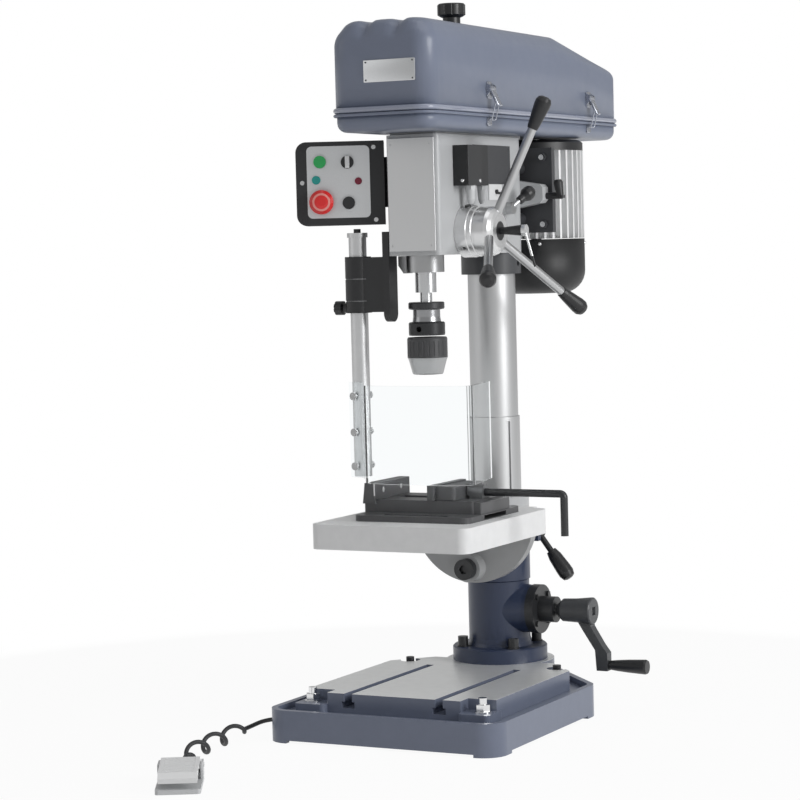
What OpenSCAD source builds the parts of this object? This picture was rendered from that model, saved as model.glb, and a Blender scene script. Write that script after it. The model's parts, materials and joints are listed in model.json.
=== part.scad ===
/* [Base] */
// Half width of the base casting
base_hw = 178; // [170:1:190]
// Distance from the column axis to the front edge of the base
base_front = 394; // [380:1:410]
// Height of the rim round the base
rim_z = 45.6; // [42:0.2:48]
// Half width of the machined plate
plate_hw = 144.7; // [135:0.1:150]
// Distance from the column axis to the front edge of the machined plate
plate_front = 346.5; // [340:0.5:352]
// Height of the machined plate above the floor
plate_z = 65.3; // [62:0.1:68]
// Offset of each T-slot from the middle
slot_x = 70; // [60:1:80]

/* [Column] */
// Radius of the upper column
column_r = 35; // [34:0.5:36]
// Radius of the lower, ground part of the column
guide_r = 37; // [36.5:0.1:37.5]
// Height at which the ground part ends
guide_top = 425; // [400:1:430]
// Travel of the column in its socket
lift_travel = 100; // [60:1:110]

/* [Head] */
// Distance from the column axis to the spindle axis
throat = 214.6; // [210:0.1:220]
// Half width of the head
head_hw = 41; // [39:0.5:43]
// Distance from the column axis to the front face of the head
head_front = 252.8; // [250:0.1:256]
// Height of the underside of the head
head_z0 = 665.7; // [660:0.1:670]
// Height of the top of the head
head_z1 = 833; // [828:0.5:834]
// Distance from the spindle axis back to the feed shaft
pinion_back = 44.6; // [44.6:0.1:44.6]
// Height of the feed shaft
feed_z = 697; // [690:1:704]
// Travel of the quill
quill_travel = 85; // [60:1:90]

/* [Belt cover] */
// Half width of the cover's lip
lip_hw = 79.6; // [78:0.1:82]
// Distance from the column axis to the front of the lip
lip_front = 345; // [340:1:350]
// Distance from the column axis to the back of the lip
lip_back = 322.6; // [318:0.1:326]
// Height of the joint between cover and pan
lip_z = 861; // [859:0.5:864]

/* [Motor] */
// Distance from the column axis back to the motor axis
motor_y = 164; // [160:1:168]
// Radius over the motor's fins
motor_r = 73.5; // [70:1:78]

/* [Table] */
// Half width of the table
table_hw = 121; // [118:1:124]
// Distance from the column axis to the front of the table
table_front = 352; // [346:1:358]
// Distance from the column axis to the back of the table
table_back = 83; // [80:1:86]
// Height of the table's top face
table_z = 299.7; // [298:0.1:301]
// Height of the tilting pivot
tilt_z = 211; // [208:1:214]

/* [Crank] */
// Height of the crank shaft
crank_z = 141; // [139:1:143]
// Length of the crank arm
crank_len = 78; // [74:1:80]

/* [Hidden] */
$fn = 64;
fit = 0.05;       // radial clearance of a running fit
gap = 0.4;        // clearance between bodies that don't touch
spindle_y = -throat;
feed_y = spindle_y + pinion_back;
base_corner_r = 32;
base_back = 42;   // where the rounded back corners end
flange_r = 70;
flange_z = 86.5;
quill_r = 26.5;
socket_r = 45.5;
socket_z = 184;   // top of the socket's body
neck_r = 41.5;    // neck that the swivel ring turns on
neck_z = 262;
ring_r = 47.2;
stud_xf = 131;
stud_xb = 119;
stud_yf = -336;
stud_yb = -62;
studs = [[-stud_xf, stud_yf], [stud_xf, stud_yf], [-stud_xb, stud_yb], [stud_xb, stud_yb]];
ledge_z = 50;
wheel_x = guide_r + 8.25;   // worm wheel, 16 teeth of module 1.25
wheel_z = crank_z + 16;
pan_z = 836;      // underside of the belt pan

// ---------- shared shapes ----------
module rrect(x0, x1, y0, y1, r) {
  translate([x0 + r, y0]) square([x1 - x0 - 2 * r, y1 - y0]);
  translate([x0, y0 + r]) square([x1 - x0, y1 - y0 - 2 * r]);
  for (x = [x0 + r, x1 - r], y = [y0 + r, y1 - r]) translate([x, y]) circle(r);
}
module rbox(x0, x1, y0, y1, z0, z1, r) {
  translate([0, 0, z0]) linear_extrude(z1 - z0) rrect(x0, x1, y0, y1, r);
}
module box(x0, x1, y0, y1, z0, z1) {
  translate([x0, y0, z0]) cube([x1 - x0, y1 - y0, z1 - z0]);
}
module rod_x(r, x0, x1, y, z) { translate([x0, y, z]) rotate([0, 90, 0]) cylinder(r = r, h = x1 - x0); }
module rod_y(r, y0, y1, x, z) { translate([x, y1, z]) rotate([90, 0, 0]) cylinder(r = r, h = y1 - y0); }
module rod_z(r, z0, z1, x = 0, y = 0) { translate([x, y, z0]) cylinder(r = r, h = z1 - z0); }
// Matrix that turns +Z to point along v
function aim(v) = let (z = v / norm(v), x = cross([0, 1, 0], z) / norm(cross([0, 1, 0], z)), y = cross(z, x))
  [[x.x, y.x, z.x, 0], [x.y, y.y, z.y, 0], [x.z, y.z, z.z, 0], [0, 0, 0, 1]];
// A turned shape from points [radius, height]
module turned(points) { rotate_extrude() polygon(points); }
module hex_nut(across, h) { cylinder(d = across / cos(30), h = h, $fn = 6); }

// ---------- base ----------
// Outline of the base: four round corners, drawn in at the back to a circle round the column
module base_outline(inset) {
  r = base_corner_r - inset;
  back_r = 88 - inset;
  cx = base_hw - base_corner_r;
  cy = -base_back - base_corner_r;
  lean = atan2(-cy, -cx) - acos((r - back_r) / norm([cx, cy]));
  n = [cos(lean), sin(lean)];
  rrect(-base_hw + inset, base_hw - inset, -base_front + inset, -base_back - inset, r);
  circle(back_r);
  // the straight flanks run 0.1 mm inside the circles that they join
  for (s = [-1, 1]) polygon([[0, cy], [s * cx, cy], [s * (cx + (r - 0.1) * n.x), cy + (r - 0.1) * n.y],
                             [s * (back_r - 0.1) * n.x, (back_r - 0.1) * n.y], [0, 0]]);
}
module plate_outline() {
  translate([-plate_hw, -plate_front]) square([2 * plate_hw, plate_front - 76]);
  polygon([[-plate_hw, -76.01], [plate_hw, -76.01], [96, -24], [-96, -24]]);
  circle(80);
}
module stud_pads() {
  for (s = [0, 1]) mirror([s, 0]) rrect(102.5, 150, -359, -312, 8);
}
module base_casting() {
  wall = 9;
  foot = 35;
  color("#7c8396") difference() {
    union() {
      translate([0, 0, 4]) linear_extrude(rim_z - 4) base_outline(0);
      intersection() {
        linear_extrude(5) base_outline(0);
        for (s = [-1, 1], y = [-base_front, -base_back - foot - 12])
          translate([s * (base_hw - foot / 2) - foot / 2, y, 0]) cube([foot, foot + 12, 5]);
      }
      // pad under the column
      cylinder(r = 48, h = 5);
      translate([0, 0, 30]) linear_extrude(plate_z - 30) plate_outline();
      translate([0, 0, 30]) linear_extrude(ledge_z - 30) stud_pads();
    }
    // tray between the rim and the raised plate
    translate([0, 0, 37]) linear_extrude(30) difference() {
      base_outline(wall);
      plate_outline();
      stud_pads();
    }
    // hollow underside
    translate([0, 0, -1]) linear_extrude(29) difference() {
      base_outline(wall);
      for (p = studs) translate(p) circle(16);
      circle(52);
    }
    box(-54, 54, -336, -96, 27, 55);
    for (s = [-1, 1]) translate([s * 110, 0, 0]) box(-22, 22, -300, -110, 27, 55);
    // T-slots
    for (s = [-1, 1]) {
      box(s * slot_x - 6, s * slot_x + 6, -plate_front - 1, -92, 45, 70);
      box(s * slot_x - 10, s * slot_x + 10, -plate_front - 1, -92, 45, 54);
    }
    // corner pockets for the anchor studs
    for (s = [-1, 1]) {
      mirror([s < 0 ? 1 : 0, 0, 0]) box(102.5, 153, -362, stud_yf + 14, ledge_z, 70);
      rod_z(15, ledge_z, 70, s * stud_xb, stud_yb);
      rod_z(6.6, -1, 70, s * stud_xf, stud_yf);
      rod_z(6.6, -1, 70, s * stud_xb, stud_yb);
    }
    rod_z(guide_r + 2, 12, 80);
    for (a = [45:90:315]) rotate(a) rod_z(4, 40, 80, 58, 0);
    // way for the foot switch cord
    rod_x(6.2, -180, -160, -352, 24);
  }
}
module anchor_studs() {
  color("#b9bcc2") for (p = studs) translate([p[0], p[1], 0]) {
    cylinder(r = 6, h = 70);
    translate([0, 0, ledge_z]) cylinder(r = 12, h = 2);
    translate([0, 0, ledge_z + 2]) hex_nut(18, 9);
  }
}
module column_socket() {
  color("#5f6880") difference() {
    union() {
      turned([[0, plate_z], [flange_r, plate_z], [flange_r, flange_z - 2], [flange_r - 2, flange_z],
              [socket_r + 3, flange_z], [socket_r + 1, flange_z + 5], [socket_r, flange_z + 12],
              [socket_r, socket_z - 1], [socket_r - 1, socket_z], [neck_r, socket_z], [neck_r, neck_z],
              [0, neck_z]]);
      translate([0, 0, crank_z]) rotate([0, 90, 0]) cylinder(r1 = 43, r2 = 35, h = 50);
      rod_x(35, 45, 57, 0, crank_z);
    }
    rod_z(guide_r + fit, 0, 400);
    for (a = [45:90:315]) rotate(a) rod_z(4, 40, 90, 58, 0);
    // worm and wheel chamber in the boss
    rod_x(9, 30, 58, 0, crank_z);
    box(30, 58, -6, 6, crank_z, wheel_z + 13);
    rod_y(2.95, -14, 14, wheel_x, wheel_z);
    for (a = [45:90:315]) translate([0, 0, crank_z]) rotate([a, 0, 0]) rod_x(2.5, 40, 60, 0, 28);
  }
}
module flange_bolts() {
  color("#26282b") for (a = [45:90:315]) rotate(a) translate([58, 0, 0]) {
    rod_z(3.9, 45, flange_z);
    rod_z(9, flange_z, flange_z + 1.5);
    rod_z(7.5, flange_z, flange_z + 15);
  }
}
module crank_flange() {
  color("#2a2c30") difference() {
    union() {
      rod_x(36, 57, 70, 0, crank_z);
      rod_x(19, 69, 93.5, 0, crank_z);
      for (a = [45:90:315]) translate([0, 0, crank_z]) rotate([a, 0, 0]) rod_x(4.2, 69, 73, 0, 28);
    }
    rod_x(6.5 + fit, 50, 100, 0, crank_z);
  }
}
module column_cap_ring() {
  color("#b6b9bd") difference() {
    turned([[guide_r + 0.3, neck_z], [48, neck_z], [48, 306], [46, 308], [guide_r + 0.3, 308]]);
    rod_z(guide_r + 0.29, 200, 400);
  }
}

// ---------- lifting crank ----------
module crank_arm() {
  z1 = crank_z - crank_len;
  color("#34363a") {
    difference() {
      translate([0, 0, crank_z]) rotate([0, 90, 0])
        turned([[0, 94.5], [7.6, 94.5], [16.7, 105], [17.5, 125], [20, 148], [20, 150.5], [18.5, 152], [0, 152]]);
      rod_x(6.6, 90, 149, 0, crank_z);
      translate([149, -6, crank_z - 6]) cube([4, 12, 12]);
    }
    translate([0, 8, 0]) rotate([90, 0, 0]) linear_extrude(16)
      polygon([[129, crank_z - 7], [149, crank_z - 7], [150, crank_z - 22], [166, z1 + 30], [175, z1 + 18],
               [175, z1 - 8], [158, z1 - 8], [156, z1 + 22], [140, z1 + 46], [131, crank_z - 18]]);
  }
}
module crank_grip() {
  z1 = crank_z - crank_len;
  color("#222326") difference() {
    translate([175 + gap, 0, z1]) rotate([0, 90, 0])
      turned([[0, 0], [6.5, 0], [8, 12], [9.5, 30], [10.8, 56], [9.6, 59], [0, 59]]);
    rod_x(3.5, 170, 225, 0, z1);
  }
}
module worm_shaft() {
  color("#8f9398") {
    rod_x(6.5, 56.6, 149, 0, crank_z);
    rod_x(3.4, 38.2, 57, 0, crank_z);
    for (i = [0:4]) translate([38.6 + i * 3.927, 0, crank_z]) rotate([0, 90, 0])
      rotate_extrude() polygon([[3.3, 0], [4.5, 0.5], [4.5, 1.3], [3.3, 1.8]]);
    rod_x(3.4, 175, 224, 0, crank_z - crank_len);
  }
}
// Gear outline with involute flanks, thinned for backlash
function inv_point(rb, t) = [rb * (cos(t) + t * PI / 180 * sin(t)), rb * (sin(t) - t * PI / 180 * cos(t))];
function turn2(p, a) = [p.x * cos(a) - p.y * sin(a), p.x * sin(a) + p.y * cos(a)];
function flank(rb, ra, n) = let (tmax = sqrt(ra * ra / (rb * rb) - 1) * 180 / PI)
  [for (i = [0:n]) inv_point(rb, tmax * i / n)];
module gear_outline(m, z, slack) {
  rp = m * z / 2;
  rb = rp * cos(20);
  ra = rp + 0.9 * m;
  rf = rp - 1.25 * m;
  half = 90 / z - slack / rp * 90 / PI + (tan(20) - 20 * PI / 180) * 180 / PI;
  side = flank(rb, ra, 4);
  circle(rf + 0.01);
  for (k = [0:z - 1]) rotate(360 * k / z)
    polygon(concat([[rf - 0.3, -0.35 * m]], [for (p = side) turn2(p, -half)],
                   [for (i = [4:-1:0]) turn2([side[i].x, -side[i].y], half)], [[rf - 0.3, 0.35 * m]]));
}
// Straight rack outline: pitch line on y = 0, teeth towards +y, running along x
module rack_outline(m, n, slack, depth) {
  p = PI * m;
  w = p / 4 - slack / 2;
  translate([-n * p / 2, -1.25 * m - depth]) square([n * p, depth]);
  for (k = [0:n - 1]) translate([(k - n / 2 + 0.5) * p, 0])
    polygon([[-w - 1.25 * m * tan(20), -1.26 * m], [w + 1.25 * m * tan(20), -1.26 * m],
             [w - 0.9 * m * tan(20), 0.9 * m], [-w + 0.9 * m * tan(20), 0.9 * m]]);
}
module worm_wheel() {
  color("#a08a4c") translate([wheel_x, 4, wheel_z]) rotate([90, 0, 0]) {
    linear_extrude(8) gear_outline(1.25, 16, 0.3);
    translate([0, 0, -8]) cylinder(r = 2.9, h = 24);
  }
}
module column() {
  color("#c9cbcd") difference() {
    union() {
      rod_z(guide_r, 40, guide_top);
      turned([[0, guide_top - 1], [guide_r, guide_top - 1], [column_r, guide_top + 1], [column_r, 828], [0, 828]]);
    }
    rod_z(28, 0, 820);
    // keyway at the front right
    rotate(-34) box(guide_r - 3, guide_r + 3, -4, 4, 60, guide_top - 6);
    // seat of the rack
    box(30.4, 40, -5.05, 5.05, 42, 176);
  }
}
module column_rack() {
  color("#8f9398") translate([wheel_x - 10, 5, wheel_z - 13 * PI * 1.25]) rotate([90, 0, 0])
    linear_extrude(10) mirror([1, -1, 0]) rack_outline(1.25, 32, 0.3, 3.2);
}

// ---------- table ----------
module swivel_ring() {
  color("#5f6880") difference() {
    union() {
      rod_z(ring_r, socket_z + gap, neck_z - gap);
      rod_y(26, -67, -30, 0, tilt_z);
      box(-26, 26, -60, -30, tilt_z, 250);
      // lug of the lock lever
      box(30, 62, 8, 19, 240, neck_z - gap - 1);
    }
    rod_z(neck_r + fit, 100, 400);
    rod_y(8 + fit, -80, -57, 0, tilt_z);
    rod_y(4 + fit, 0, 30, 54, 251);
  }
}
module table_lock_lever() {
  tilt = 143.3;
  color("#2b2c2f") {
    rod_y(4, 8, 30, 54, 251);
    rod_y(9, 19 + gap, 34, 54, 251);
    translate([54, 27, 251]) rotate([0, tilt, 0]) {
      cylinder(r = 4.5, h = 50);
      translate([0, 0, 34]) turned([[0, 0], [7.5, 0], [10, 10], [11.5, 32], [11.5, 40], [9, 47], [5, 49], [0, 49]]);
    }
  }
}
module table() {
  top_t = 12;
  color("#e7e8e9") difference() {
    union() {
      rbox(-table_hw, table_hw, -table_front, -table_back, 265, table_z, 15);
      // half disc that carries the table on its pivot
      translate([0, -table_back, 0]) rotate([90, 0, 0]) translate([0, 0, -15]) linear_extrude(16)
        intersection() {
          translate([0, 285]) circle(97);
          translate([-100, 180]) square([200, table_z - 180]);
        }
      rod_y(20, -105, -82, 0, tilt_z);
    }
    // hollow under the top plate
    rbox(-table_hw + 9, table_hw - 9, -table_front + 9, -table_back - 9, 260, table_z - top_t, 8);
    rod_y(8 + fit, -110, -60, 0, tilt_z);
  }
  color("#e7e8e9") for (x = [-50, 50]) box(x - 4, x + 4, -table_front + 8, -table_back - 8, 272, table_z - 6);
}
module tilt_bolt() {
  color("#26282b") difference() {
    union() {
      rod_y(15, -118, -105, 0, tilt_z);
      rod_y(8, -106, -58, 0, tilt_z);
    }
    translate([0, -113, tilt_z]) rotate([90, 0, 0]) cylinder(r = 7, h = 8, $fn = 6);
  }
}
vise_y = -209;
vise_z = 334.5;
module vise_body() {
  color("#232427") difference() {
    union() {
      rbox(-79, 99, -303, -128, table_z, 308, 13);
      rbox(-84, 86, -258, -160, 307, 326, 3);
      // right end of the bed, flush with the foot plate
      rbox(60, 97, -256, -162, 307, 324, 2);
      // fixed jaw, its back leaning in
      translate([0, -156, 0]) rotate([90, 0, 0]) linear_extrude(106)
        polygon([[-84, 320], [-80.5, 349], [-64, 349], [-64, 320]]);
      // boss of the screw
      box(58, 82, vise_y - 11, vise_y + 11, 320, vise_z);
      rod_x(11, 58, 82, vise_y, vise_z);
    }
    rod_x(5.3 + fit, 50, 100, vise_y, vise_z);
    // slide way, the slots for the table bolts and the hollow under the bed
    box(-50, 62, vise_y - 12, vise_y + 12, 310, 330);
    for (y = [-284, -144]) box(-40, 60, y - 5, y + 5, 290, 320);
    box(70, 100, -250, -180, 300.7, 306.5);
    for (y = [vise_y - 26, vise_y + 28]) rod_x(4.4, -65.2, -60, y, 338);
  }
  color("#8f9398") for (y = [vise_y - 26, vise_y + 28]) rod_x(4, -66, -64.6, y, 338);
}
module vise_jaw() {
  color("#3a3b3e") difference() {
    union() {
      rbox(17, 56, -254, -158, 326 + gap, 345, 7);
      rbox(17, 27, -262, -156, 326 + gap, 347, 1);
      box(26, 56, vise_y - 11.5, vise_y + 11.5, 312, 330);
    }
    rod_x(5.3 + fit, 34, 70, vise_y, vise_z);
  }
}
module vise_screw() {
  color("#26282b") {
    rod_x(5.3, 35, 195, vise_y, vise_z);
    // bend and the leg of the handle
    translate([195, vise_y, vise_z - 6]) rotate([90, 0, 0]) rotate_extrude(angle = 90) translate([6, 0]) circle(5.3);
    rod_z(5.3, vise_z - 58, vise_z - 5.9, 201, vise_y);
  }
}

// ---------- head ----------
module head_casting() {
  color("#c3c5c8") difference() {
    union() {
      translate([0, 0, head_z0]) linear_extrude(head_z1 - head_z0) {
        rrect(-head_hw, head_hw, -head_front + 3, 0, 8);
        rrect(-head_hw, head_hw, -60, 42, 30);
      }
      // raised pad that carries the belt pan
      translate([0, 0, head_z1 - 1]) linear_extrude(pan_z - head_z1 + 1)
        rrect(-head_hw + 4, head_hw - 4, -head_front + 8, 36, 6);
    }
    // column, quill and upper spindle bearing
    rod_z(column_r, 600, 828, 0, 0);
    rod_z(quill_r + fit, 600, 812, 0, spindle_y);
    rod_z(13 + fit, 800, 900, 0, spindle_y);
    // way for the teeth of the quill's rack
    box(-6.3, 6.3, spindle_y + 20, spindle_y + 28, head_z0 - 1, 812);
    // hollow between quill and column
    box(-33, 33, -180, -46, head_z0 - 1, 825);
    // pinion chamber and feed shaft bores
    rod_x(22.5, -8, 8, feed_y, feed_z);
    rod_x(10 + fit, -34, 50, feed_y, feed_z);
  }
}
module front_plate() {
  color("#a9acb0") difference() {
    rbox(-36, 36, -head_front, -head_front + 3, 672, 828, 1);
    for (s = [-1, 1], z = [680, 820]) rod_y(1.6, -head_front - 1, -head_front + 1, s * 30, z);
  }
}
module head_collar() {
  color("#4b4e54") difference() {
    rod_z(44, 635, head_z0);
    rod_z(column_r, 600, 700);
    rod_x(4, 30, 60, 0, 650);
  }
}
module quill() {
  color("#b4b7bb") {
    difference() {
      rod_z(quill_r, 642, 806, 0, spindle_y);
      rod_z(14.8 + fit, 640, 810, 0, spindle_y);
      rod_z(18, 662, 788, 0, spindle_y);
      box(-6, 6, spindle_y + 21.9, spindle_y + 30, 676, 803);
    }
    translate([-5.8, spindle_y + 25.1, feed_z + 9 * PI * 1.5]) rotate([90, 0, 90])
      linear_extrude(11.6) mirror([1, -1, 0]) rack_outline(1.5, 26, 0.35, 1.5);
  }
}
module quill_collar() {
  color("#2b2c2f") difference() {
    translate([0, spindle_y + 9, 0]) rotate([90, 0, 0]) linear_extrude(18)
      polygon([[-38, head_z0 - gap], [-38, 652], [-30, 641], [-16, 641], [-16, head_z0 - gap]]);
    rod_z(quill_r, 600, 700, 0, spindle_y);
  }
}
module spindle() {
  color("#9ea2a7") translate([0, spindle_y, 0])
    turned([[0, 596], [8.4, 596], [8.4, 614], [14.8, 614], [14.8, 806], [9, 809], [9, 928], [8, 930], [0, 930]]);
}
module chuck_body() {
  color("#8b8e93") translate([0, spindle_y, 0]) difference() {
    turned([[0, 554], [25, 554], [25.5, 556], [25.5, 571], [24, 572.5], [20, 573], [19, 580], [19, 589.5],
            [24.3, 590.6], [25.3, 592], [25.3, 599], [24, 600.4], [0, 600.4]]);
    rod_z(8.4, 595, 610);
    for (a = [0:120:240]) rotate(a + 30) rod_x(4, 15, 30, 0, 563);
    for (a = [30:120:270]) translate([0, -spindle_y, 0]) jaw_line(a) translate([0, 0, 30]) cylinder(r = 3.75, h = 39);
  }
}
module chuck_sleeve() {
  color("#2a2b2e") translate([0, spindle_y, 0]) difference() {
    turned([[12, 499.5], [20.3, 499.5], [21.6, 500.8], [26.6, 519.5], [28.2, 523], [28.2, 549], [27, 551.4], [12, 551.4]]);
    turned([[9, 498], [11, 498], [11, 505], [19, 520], [19, 552], [9, 552]]);
    rod_z(9, 490, 560);
    for (a = [0:15:345]) rotate(a) rod_z(1.4, 526, 546, 28.8, 0);
  }
}
jaw_lean = 12;
module jaw_line(a) { translate([0, spindle_y, 503]) rotate(a) translate([4.5, 0, 0]) rotate([0, jaw_lean, 0]) children(); }
module chuck_jaw(a) {
  color("#a9acb0") difference() {
    jaw_line(a) cylinder(r = 3.6, h = 37);
    jaw_line(a) translate([-4.5, -5, -1]) rotate([0, -jaw_lean, 0]) cube([2.2, 10, 12]);
  }
}
module chuck_jaw_a() { chuck_jaw(30); }
module chuck_jaw_b() { chuck_jaw(150); }
module chuck_jaw_c() { chuck_jaw(270); }
module feed_shaft() {
  color("#8f9398") {
    rod_x(10, -33, 41.3, feed_y, feed_z);
    rod_x(8, 41.2, 60, feed_y, feed_z);
    translate([-5.5, feed_y, feed_z]) rotate([90, 0, 90]) linear_extrude(11) gear_outline(1.5, 26, 0.35);
  }
}
module feed_hub() {
  color("#d0d2d4") difference() {
    translate([0, feed_y, feed_z]) rotate([0, 90, 0])
      turned([[0, head_hw + gap], [36, head_hw + gap], [36, 58], [35, 59], [35, 65.5], [33.5, 66.5], [33.5, 69],
              [34.5, 70], [34.5, 85], [32.5, 90], [28.5, 94], [24, 96], [0, 96]]);
    rod_x(8, 40, 60.1, feed_y, feed_z);
    translate([53, feed_y, feed_z]) rotate([40, 0, 0]) rod_y(2.5, -40, -20, 0, 0);
    for (a = [81.3:120:330]) translate([79, feed_y, feed_z]) rotate([a, 0, 0])
      rotate([-90, 0, 0]) rotate([0, 22.73, 0]) translate([0, 0, 15]) cylinder(r = 6.2, h = 40);
  }
  color("#222326") {
    for (a = [66, 104]) translate([0, feed_y, feed_z]) rotate([a, 0, 0]) rod_y(4.5, 34, 38.4, 51, 0);
    translate([0, feed_y, feed_z]) rotate([0, 90, 0])
      turned([[0, 95], [5, 95], [5, 101], [7.4, 126], [6.8, 131], [0, 131]]);
  }
  color("#b9bcc2") {
    rod_x(8, 130.5, 136, feed_y, feed_z);
    translate([133.5, feed_y, feed_z]) rotate([0, 164, 0]) cylinder(r = 1.8, h = 53);
  }
}
module feed_spokes() {
  for (a = [81.3:120:330]) translate([79, feed_y, feed_z]) rotate([a - 90, 0, 0]) rotate([0, 22.73, 0]) {
    color("#c9ccd0") translate([0, 0, 15]) cylinder(r = 6.2, h = 150);
    color("#222326") translate([0, 0, 154])
      turned([[0, 0], [7.5, 0], [8.5, 6], [11.5, 34], [11.5, 41], [9, 46], [5, 48], [0, 48]]);
  }
}

// ---------- belt drive ----------
module belt_pan() {
  color("#7c8396") difference() {
    union() {
      rbox(-76, 76, -340, 318, pan_z, lip_z - 2.3, 24);
      rbox(-lip_hw, lip_hw, -lip_front, lip_back, lip_z - 5, lip_z - 0.3, 27);
    }
    rbox(-73, 73, -337, 315, pan_z + 3, 900, 21);
    rod_z(19, 800, 900, 0, spindle_y);
    rod_z(20, 800, 900, 0, motor_y);
  }
  // hinge knuckles of the cover
  color("#c3c5c8") for (y = [-205, 165]) difference() {
    union() {
      rod_y(4, y + 15.4, y + 30, -84, lip_z - 1);
      box(-84, -75, y + 15.4, y + 30, lip_z - 5, lip_z - 1.2);
    }
    rod_y(2, y, y + 31, -84, lip_z - 1);
  }
}
module groove(r, z) { polygon([[r - 9, z + 3], [r + 1, z - 1.2], [r + 1, z + 13.2], [r - 9, z + 9]]); }
module cone_pulley(radii, bore, hub_r, hub_z) {
  rotate_extrude() difference() {
    union() {
      for (i = [0:4]) translate([bore, 848 + 15 * i]) square([radii[i] - bore, 15.01]);
      translate([bore, hub_z]) square([hub_r - bore, 850 - hub_z]);
    }
    for (i = [0:4]) groove(radii[i], 848 + 15 * i + 1.5);
  }
}
module spindle_pulley() {
  color("#9da1a6") translate([0, spindle_y, 0]) cone_pulley([58, 52, 46, 40, 34], 9 + fit, 13, 816);
}
module motor_pulley() {
  color("#9da1a6") {
    translate([0, motor_y, 0]) {
      cone_pulley([34, 40, 46, 52, 58], 0, 8, 641);
      rod_z(16, 640, 668);
      for (a = [0:60:300]) rotate(a) box(10, 62, -1.5, 1.5, 640, 666);
    }
  }
}
module belt() {
  z = 848 + 30 + 1.5;
  color("#1f2022") translate([0, 0, z + 2.9]) linear_extrude(6.2) difference() {
    union() {
      for (y = [spindle_y, motor_y]) translate([0, y]) circle(45.4);
      translate([-45.4, spindle_y]) square([90.8, motor_y - spindle_y]);
    }
    for (y = [spindle_y, motor_y]) translate([0, y]) circle(38.2);
    translate([-38.2, spindle_y]) square([76.4, motor_y - spindle_y]);
  }
}

// ---------- belt cover ----------
// Shell of the cover, drawn in by t on every side
module cover_shape(t) {
  hull() {
    for (s = [-1, 1]) {
      for (y = [-319, 296]) translate([s * 52, y, lip_z + 1.3]) cylinder(r = 25 - t, h = 4, $fn = 32);
      for (p = [[61, -326, 957], [61, 110, 957], [61, 304, 931], [34, -270, 972.8], [34, 100, 972.8], [40, 290, 934]])
        translate([s * p.x, p.y, p.z]) sphere(r = 14 - t, $fn = 24);
    }
  }
}
module hood() {
  color("#7c8396") {
    difference() {
      union() {
        cover_shape(0);
        rbox(-lip_hw, lip_hw, -lip_front, lip_back, lip_z + 0.3, lip_z + 4, 27);
      }
      cover_shape(2.5);
      rbox(-74, 74, -339, 316, lip_z - 1, lip_z + 6, 23);
      rod_z(6.5, 960, 1000, 0, -112);
    }
    // hinge knuckles
    for (y = [-205, 165]) difference() {
      union() {
        rod_y(4, y, y + 15, -84, lip_z - 1);
        rod_y(4, y + 30.4, y + 45, -84, lip_z - 1);
        box(-84, -78, y, y + 15, lip_z + 0.6, lip_z + 3);
        box(-84, -78, y + 30.4, y + 45, lip_z + 0.6, lip_z + 3);
      }
      rod_y(1.9, y - 1, y + 46, -84, lip_z - 1);
    }
  }
  color("#8f9398") for (y = [-205, 165]) rod_y(1.9, y, y + 45, -84, lip_z - 1);
  // lugs and pins of the two latches
  color("#b9bcc2") for (y = [-157, 195]) {
    for (s = [-1, 1]) box(75.5, 85, y + s * 11.2 - 1.2, y + s * 11.2 + 1.2, 890, 902);
    rod_y(2, y - 12.4, y + 12.4, 82, 896);
  }
  // blank plate on the front
  color("#d6d8da") difference() {
    rbox(-22, 56, -342.5, -339.5, 898, 934, 1);
    for (x = [-18, 52], z = [902, 930]) rod_y(1, -344, -342, x, z);
  }
}
module hood_knob() {
  color("#222326") translate([0, -112, 0]) difference() {
    turned([[0, 975], [6.4, 975], [6.4, 987.3], [12.5, 987.3], [12.5, 1002], [17, 1004], [20, 1006], [20, 1020], [18, 1022], [0, 1022]]);
    for (a = [0:30:330]) rotate(a) rod_z(2, 1000, 1030, 21, 0);
  }
}
module latch(y) {
  color("#c9ccd0") {
    // plate riveted to the cover, and the lever hanging from its pin
    translate([0, y, 0]) {
      difference() {
        union() {
          box(80.3, 82.8, -9, 9, 858, 900);
          rod_y(4, -9, 9, 82, 896);
        }
        rod_y(2 + fit, -20, 20, 82, 896);
      }
      box(80.3, 82.3, -6, 6, 848, 860);
    }
  }
}
module latch_front() { latch(-157); }
module latch_rear() { latch(195); }

// ---------- motor ----------
module motor_plate() {
  color("#4b4e54") difference() {
    union() {
      rbox(-75, 75, 60, 70, 694, 819, 1);
      for (s = [-1, 1]) rod_y(9, 42, 61, s * 22, 790);
      for (s = [-1, 1]) rod_y(9, 42, 61, s * 22, 715);
    }
    for (s = [-1, 1], z = [706, 805]) rod_y(3.2, 50, 80, s * 60, z);
  }
  color("#26282b") for (s = [-1, 1], z = [706, 805]) translate([s * 60, 60, z]) rotate([90, 0, 0]) {
    translate([0, 0, -10]) cylinder(r = 3.2, h = 11);
    hex_nut(11, 6);
  }
}
module motor_body() {
  color("#b9bcbf") translate([0, motor_y, 0]) difference() {
    union() {
      rod_z(62, 685, 817);
      for (a = [0:10:350]) rotate(a + 5) box(55, motor_r, -1.6, 1.6, 685, 817);
      box(-40, 40, -94, -50, 700, 812);
      // terminal box on the far side
      box(-92, -44, -24, 24, 728, 790);
    }
    rod_z(40, 700, 805);
    rod_z(8.5, 600, 900);
  }
  color("#26282b") translate([0, motor_y, 0]) difference() {
    turned([[8.5, 817], [motor_r, 817], [motor_r, 829], [68, 833], [8.5, 833]]);
    rod_z(40, 810, 826);
  }
}
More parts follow.
